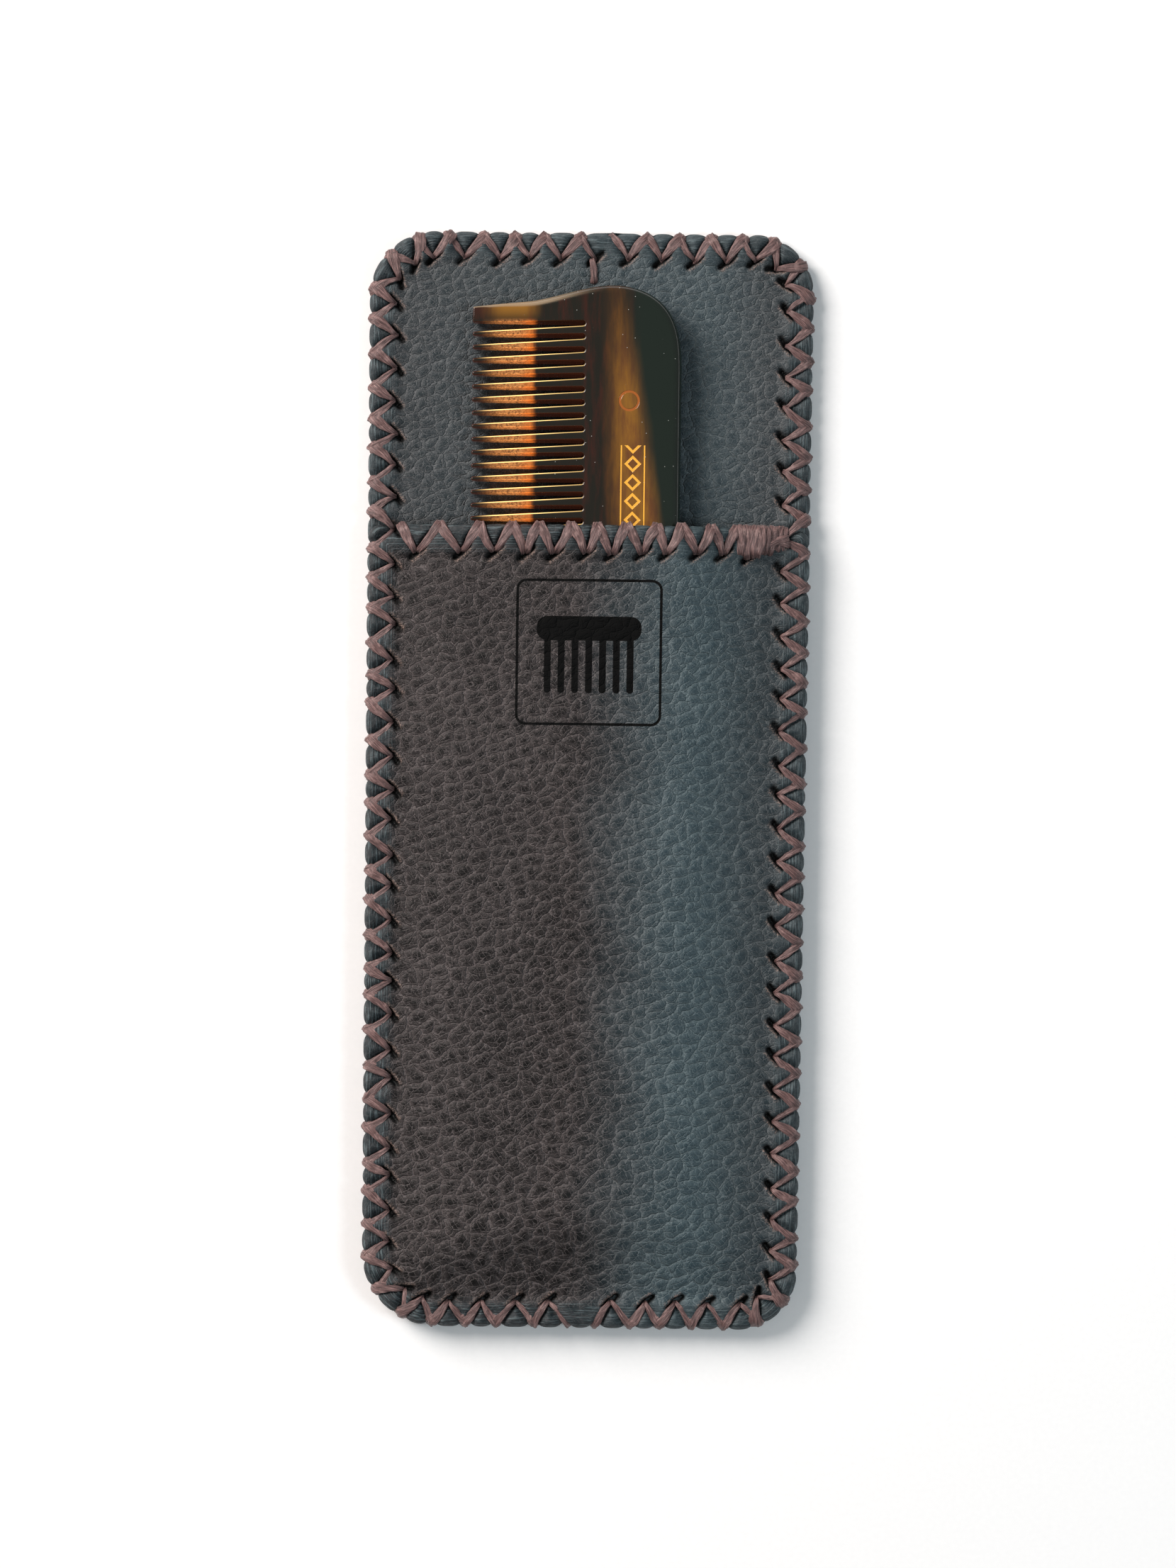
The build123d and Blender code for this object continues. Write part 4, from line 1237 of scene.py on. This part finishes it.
def build_comb(props):
    """The comb: one closed piece, every edge of it rounded and polished."""
    sizes = props.comb
    outline, soft = comb_plan(sizes)
    count = len(outline)
    edge = np.roll(outline, -1, axis=0) - outline
    turn = unit(edge) + unit(np.roll(edge, 1, axis=0))
    inward = turned(unit(turn))
    faces_head = smoothstep(0.3, 0.9, -inward[:, 1]) * (1 - soft)
    reach = 0.20 + (sizes.back_round / MM - 0.20) * soft + 0.06 * faces_head
    on_guard = smoothstep(COMB_HIGH[1] - 3.6, COMB_HIGH[1] - 3.3, outline[:, 1])
    on_guard *= smoothstep(COMB_LOW[0] + 0.9, COMB_LOW[0] + 3, outline[:, 0])
    on_guard *= smoothstep(COMB_LOW[0] + 15, COMB_LOW[0] + 5, outline[:, 0])
    reach = reach + 0.42 * faces_head * on_guard
    drop = 0.42 + (sizes.back_round / MM * 1.15 - 0.42) * soft
    base = COMB_LOW[2]
    tip, root = COMB_LOW[0], COMB_LOW[0] + sizes.tooth_length / MM
    in_gap = (1 - soft) * smoothstep(0.15, 0.6, -inward[:, 0] + np.abs(inward[:, 1]))
    in_gap = in_gap * gap_rows(outline, sizes)
    flank = in_gap * (0.26 + 0.31 * np.clip((root - outline[:, 0]) / (root - tip), 0, 1))
    flank = flank * smoothstep(tip + 0.2, tip + 1.4, outline[:, 0])
    rings = []
    turns = [math.radians(angle) for angle in (0, 14, 30, 46, 62, 76, 90)]
    for upper in (False, True):
        rows = []
        for angle in turns:
            inset = reach * (1 - math.cos(angle)) - (0 if upper else 1) * flank
            spot = outline + inward * inset[:, None]
            fall = drop * (1 - math.sin(angle))
            rows.append((spot, fall))
        spot = outline + inward * (reach + 0.02 - (0 if upper else 1) * flank)[:, None]
        rows.append((spot, 0 * reach))
        rows = rows if upper else rows[::-1]
        for spot, fall in rows:
            full = comb_height(spot[:, 0])
            middle = np.minimum(drop * (1 if upper else 1 - 0.6 * in_gap), full * 0.44)
            fall = fall / np.maximum(drop, 1e-6) * middle
            height = base + full - fall if upper else base + fall
            rings.append(np.column_stack([spot, height]))
    ray, after = np.arange(count), np.roll(np.arange(count), -1)
    polys = []
    for j in range(len(rings) - 1):
        at = j * count
        polys += np.stack([at + ray, at + after, at + count + after, at + count + ray], 1).tolist()
    points = [np.concatenate(rings)]
    total = len(points[0])

    # both flat sides, filled between their rings and a grid of points over the back
    border = rings[-1][:, :2]
    xs = np.arange(COMB_LOW[0] + 15.9, COMB_HIGH[0] - 1.3, 1.15)
    ys = np.arange(COMB_LOW[1] + 2, COMB_HIGH[1] - 1, 1.3)
    grid = np.stack(np.meshgrid(xs, ys), axis=-1).reshape(-1, 2)
    ahead = np.roll(border, -1, axis=0)
    inside = np.zeros(len(grid), bool)
    for a, b in zip(border, ahead):
        crosses = (a[1] > grid[:, 1]) != (b[1] > grid[:, 1])
        with np.errstate(divide="ignore", invalid="ignore"):
            at = (b[0] - a[0]) * (grid[:, 1] - a[1]) / (b[1] - a[1]) + a[0]
        inside ^= crosses & (grid[:, 0] < at)
    clear = np.array([np.abs(border - spot).max(axis=1).min() > 0.75 for spot in grid])
    grid = grid[inside & clear]
    flat = [Vector(spot) for spot in np.concatenate([border, grid]).tolist()]
    verts, _, fills, origins, _, _ = delaunay_2d_cdt(flat, [], [list(range(count))], 1, 1e-6)
    if len(verts) != len(flat):
        raise RuntimeError("the comb's outline crosses itself")
    number = [origin[0] for origin in origins]
    top_at, low_at = total - count, 0
    grid_top = np.column_stack([grid, base + comb_height(grid[:, 0])])
    grid_low = np.column_stack([grid, np.full(len(grid), base)])
    points += [grid_top, grid_low]
    for face in fills:
        corner = [number[v] for v in face]
        upper = [top_at + v if v < count else total + v - count for v in corner]
        lower = [low_at + v if v < count else total + len(grid) + v - count for v in corner]
        polys.append(upper)
        polys.append(lower[::-1])
    finish = comb_finish("tortoiseshell_acetate", Colours(props.colours))
    return make_piece("beard_comb", np.concatenate(points), polys, "comb", ("comb",),
                      None, finish)


# ---------------------------------------------------------------- stage


def floor_finish():
    """Plain matt white paper, with the faintest tooth."""
    material, tree, shader = new_finish("studio_paper")
    place = node(tree, "ShaderNodeTexCoord").outputs["Object"]
    tooth = noise(tree, place, 1400.0, 2.0).outputs["Fac"]
    tree.links.new(mixed(tree, tooth, (0.86, 0.86, 0.86), (0.90, 0.90, 0.90)), shader.inputs["Base Color"])
    shader.inputs["Roughness"].default_value = 0.95
    shader.inputs["Specular IOR Level"].default_value = 0.05
    return material


def area_light(name, place, target, size, power, colour):
    """A soft lamp at a place, aimed at another."""
    data = bpy.data.lights.new(name, "AREA")
    data.shape, data.size, data.energy, data.color = "DISK", size, power, colour
    lamp = bpy.data.objects.new(name, data)
    bpy.context.scene.collection.objects.link(lamp)
    lamp.location = place
    lamp.rotation_euler = (Vector(target) - Vector(place)).to_track_quat("-Z", "Y").to_euler()
    return lamp


def build_stage(props):
    """The floor, the lamps, the sky and the camera."""
    mesh = bpy.data.meshes.new("studio_floor")
    reach = 3.0
    corners = [(-reach, -reach, 0), (reach, -reach, 0), (reach, reach, 0), (-reach, reach, 0)]
    mesh.from_pydata(corners, [], [(0, 1, 2, 3)])
    floor = bpy.data.objects.new("studio_floor", mesh)
    floor.location.z = -0.00003
    bpy.context.scene.collection.objects.link(floor)
    mesh.materials.append(floor_finish())
    look = props.stage
    area_light("warm_key", (-0.72, 0.52, 0.56), (0, 0, 0), 0.70, look.key_power, (1.0, 0.945, 0.91))
    area_light("teal_fill", (0.62, -0.12, 0.60), (0.01, 0, 0), 0.30, look.fill_power, (0.76, 0.92, 1.0))
    world = bpy.data.worlds.new("soft_sky")
    world.use_nodes = True
    sky = world.node_tree.nodes["Background"]
    sky.inputs["Color"].default_value = (1.0, 0.98, 0.97, 1)
    sky.inputs["Strength"].default_value = look.sky_strength
    bpy.context.scene.world = world
    data = bpy.data.cameras.new("camera")
    data.sensor_fit = "VERTICAL"
    data.sensor_height = 24
    height = 0.55
    data.lens = data.sensor_height * height / 0.2212
    data.clip_start = 0.01
    camera = bpy.data.objects.new("camera", data)
    camera.location = (0.00035, -0.0006, height)
    camera.rotation_euler = (0, 0, math.radians(0.74))
    bpy.context.scene.collection.objects.link(camera)
    bpy.context.scene.camera = camera
    bpy.context.scene.view_settings.view_transform = "Standard"


# ---------------------------------------------------------------- what a user can change


class SleeveSizes(bpy.types.PropertyGroup):
    """Sizes of the leather sleeve."""

    taper: FloatProperty(name="Taper",
                         description="How much narrower each side is at the foot than at the top",
                         default=0.8 * MM, unit="LENGTH", precision=4)
    plump: FloatProperty(name="Plumpness",
                         description="How far the rim swells past the flat leather's size",
                         default=0.45 * MM, unit="LENGTH", precision=4)
    roll: FloatProperty(name="Edge roll", description="Radius that the leather's edge is worn to",
                        default=0.95 * MM, unit="LENGTH", precision=4)


class LacingSizes(bpy.types.PropertyGroup):
    """Sizes of the lacing."""

    hole_inset: FloatProperty(name="Hole inset", description="From the edge to the lacing holes",
                              default=3.2 * MM, unit="LENGTH", precision=4)
    stitch_pitch: FloatProperty(name="Stitch pitch", description="From one lacing hole to the next",
                                default=4.58 * MM, unit="LENGTH", precision=4)
    slit_length: FloatProperty(name="Slit length", description="Length of each lacing slit",
                               default=2.4 * MM, unit="LENGTH", precision=4)
    mouth_inset: FloatProperty(name="Mouth inset",
                               description="From the pocket's mouth to its lacing holes",
                               default=3.7 * MM, unit="LENGTH", precision=4)
    mouth_stitches: IntProperty(name="Mouth stitches", description="Lacing holes along the pocket's mouth",
                                default=12, min=3)
    finishing_wraps: IntProperty(name="Finishing wraps",
                                 description="Turns in the bundle at the mouth's end",
                                 default=8, min=2)


class CombSizes(bpy.types.PropertyGroup):
    """Sizes of the comb."""

    tooth_length: FloatProperty(name="Tooth length", description="From the tips to the roots",
                                default=15.4 * MM, unit="LENGTH", precision=4)
    tooth_pitch: FloatProperty(name="Tooth pitch", description="From one tooth to the next",
                               default=1.844 * MM, unit="LENGTH", precision=4)
    gaps: IntProperty(name="Gaps", description="Gaps between the teeth", default=64, min=1)
    gap_root: FloatProperty(name="Gap at the root", description="Width of a gap at its root",
                            default=0.66 * MM, unit="LENGTH", precision=4)
    gap_tip: FloatProperty(name="Gap at the tips", description="Width of a gap between the tips",
                           default=1.26 * MM, unit="LENGTH", precision=4)
    tip_round: FloatProperty(name="Tip rounding", description="Radius of the tooth tips",
                             default=0.27 * MM, unit="LENGTH", precision=4)
    back_round: FloatProperty(name="Back rounding", description="How far the back's edge is rounded",
                              default=1.15 * MM, unit="LENGTH", precision=4)


def colour(name, description, value):
    """A colour property."""
    return FloatVectorProperty(name=name, description=description, default=value, size=3, min=0, max=1,
                               subtype="COLOR")


class FinishColours(bpy.types.PropertyGroup):
    """Colours of the leather, the thread and the comb."""

    leather_dark: colour("Leather, dark", "The grain's darker cells", (0.004, 0.0035, 0.0035))
    leather_warm: colour("Leather, warm", "The grain's warmer cells", (0.008, 0.0070, 0.0069))
    # painted cool light on the grain's cells
    leather_painted_cool_light: colour("Leather, cool", "The grain's cooler patches", (0.042, 0.070, 0.084))
    # painted highlight along the creases
    leather_crease_highlight: colour("Leather, creases", "The worn lines between cells", (0.112, 0.095, 0.094))
    # painted highlight on the creases under the painted cool light
    cool_lit_crease_highlight: colour("Leather, cool creases", "The worn lines in cooler patches", (0.135, 0.172, 0.182))
    leather_rim: colour("Leather, rim", "The gathered leather between the stitches", (0.022, 0.033, 0.038))
    raw_edge: colour("Raw edge", "Leather's cut fibre", (0.36, 0.25, 0.21))
    ink: colour("Ink", "The stamp on the pocket", (0.002, 0.002, 0.002))
    thread: colour("Thread", "The lacing thread", (0.215, 0.120, 0.112))
    thread_dark: colour("Thread, shaded", "Between the thread's strands", (0.055, 0.028, 0.027))
    thread_light: colour("Thread, worn", "The thread's raised fibres", (0.42, 0.27, 0.25))
    comb_black: colour("Comb, black", "The comb's darkest bands", (0.008, 0.007, 0.004))
    comb_green: colour("Comb, green", "The comb's dark spine", (0.006, 0.012, 0.008))
    comb_red: colour("Comb, red", "The comb's red-brown clouds", (0.030, 0.008, 0.004))
    comb_brown: colour("Comb, brown", "The comb's brown bands", (0.12, 0.042, 0.012))
    comb_olive: colour("Comb, olive", "The comb's olive-gold clouds", (0.23, 0.10, 0.012))
    comb_amber: colour("Comb, amber", "The comb's amber bands", (0.70, 0.29, 0.085))
    comb_ember: colour("Comb, ember", "Where the amber bands meet the dark", (0.72, 0.17, 0.016))
    comb_gold: colour("Comb, gold", "Light in the comb's cut sides", (0.95, 0.68, 0.26))
    # painted highlight on the rounded edge of the head
    comb_edge_highlight: colour("Comb, edge", "The pale rounded edge of its head", (0.27, 0.20, 0.13))
    comb_inlay: colour("Comb, inlay", "The inlaid line ornament", (0.82, 0.40, 0.05))
    comb_ring: colour("Comb, ring", "The inlaid ring", (0.32, 0.09, 0.015))


class StageLook(bpy.types.PropertyGroup):
    """The studio light."""

    key_power: FloatProperty(name="Key",
                             description="Power of the warm key lamp", default=19.0, unit="POWER")
    fill_power: FloatProperty(name="Fill",
                              description="Power of the cool fill lamp", default=2.3, unit="POWER")
    sky_strength: FloatProperty(name="Sky",
                                description="Strength of the soft light all round", default=0.28)


class SleeveProps(bpy.types.PropertyGroup):
    """Everything a user can change."""

    sleeve: PointerProperty(type=SleeveSizes)
    lacing: PointerProperty(type=LacingSizes)
    comb: PointerProperty(type=CombSizes)
    colours: PointerProperty(type=FinishColours)
    stage: PointerProperty(type=StageLook)


# ---------------------------------------------------------------- operators


class SLEEVE_OT_leathers(bpy.types.Operator):
    """Build the back, lining and pocket leathers"""

    bl_idname = "sleeve.leathers"
    bl_label = "Leathers"

    def execute(self, context):
        props = context.scene.laced_sleeve
        build_back_leather(props)
        build_lining_leather(props)
        build_pocket_leather(props)
        return {"FINISHED"}


class SLEEVE_OT_edge_lacing(bpy.types.Operator):
    """Build both lengths of thread round the sleeve's edge"""

    bl_idname = "sleeve.edge_lacing"
    bl_label = "Edge lacing"

    def execute(self, context):
        build_edge_thread(context.scene.laced_sleeve, 0)
        build_edge_thread(context.scene.laced_sleeve, 1)
        return {"FINISHED"}


class SLEEVE_OT_mouth_lacing(bpy.types.Operator):
    """Build the thread along the pocket's mouth"""

    bl_idname = "sleeve.mouth_lacing"
    bl_label = "Mouth lacing"

    def execute(self, context):
        build_mouth_thread(context.scene.laced_sleeve)
        return {"FINISHED"}


class SLEEVE_OT_comb(bpy.types.Operator):
    """Build the comb"""

    bl_idname = "sleeve.comb"
    bl_label = "Comb"

    def execute(self, context):
        build_comb(context.scene.laced_sleeve)
        return {"FINISHED"}


class SLEEVE_OT_stage(bpy.types.Operator):
    """Set the floor, the lamps and the camera"""

    bl_idname = "sleeve.stage"
    bl_label = "Stage"

    def execute(self, context):
        build_stage(context.scene.laced_sleeve)
        return {"FINISHED"}


class SLEEVE_PT_panel(bpy.types.Panel):
    """The sidebar panel with every size, colour and step"""

    bl_label = "Comb and Laced Sleeve"
    bl_idname = "SLEEVE_PT_panel"
    bl_space_type = "VIEW_3D"
    bl_region_type = "UI"
    bl_category = "Sleeve"

    def draw(self, context):
        props = context.scene.laced_sleeve
        for group in (props.sleeve, props.lacing, props.comb, props.colours, props.stage):
            box = self.layout.box()
            for key in group.bl_rna.properties.keys():
                if key not in ("rna_type", "name"):
                    box.prop(group, key)
        for operator in OPERATORS:
            self.layout.operator(operator.bl_idname)


GROUPS = (SleeveSizes, LacingSizes, CombSizes, FinishColours, StageLook, SleeveProps)
OPERATORS = (
    SLEEVE_OT_leathers,
    SLEEVE_OT_edge_lacing,
    SLEEVE_OT_mouth_lacing,
    SLEEVE_OT_comb,
    SLEEVE_OT_stage,
)


def register():
    """Add the classes and the scene's properties."""
    for kind in (*GROUPS, *OPERATORS, SLEEVE_PT_panel):
        bpy.utils.register_class(kind)
    bpy.types.Scene.laced_sleeve = PointerProperty(type=SleeveProps)


def unregister():
    """Take the classes and the scene's properties away."""
    del bpy.types.Scene.laced_sleeve
    for kind in reversed((*GROUPS, *OPERATORS, SLEEVE_PT_panel)):
        bpy.utils.unregister_class(kind)


def main():
    """Build everything."""
    register()
    bpy.ops.sleeve.leathers()
    bpy.ops.sleeve.edge_lacing()
    bpy.ops.sleeve.mouth_lacing()
    bpy.ops.sleeve.comb()
    bpy.ops.sleeve.stage()
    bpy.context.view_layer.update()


if __name__ == "__main__":
    main()
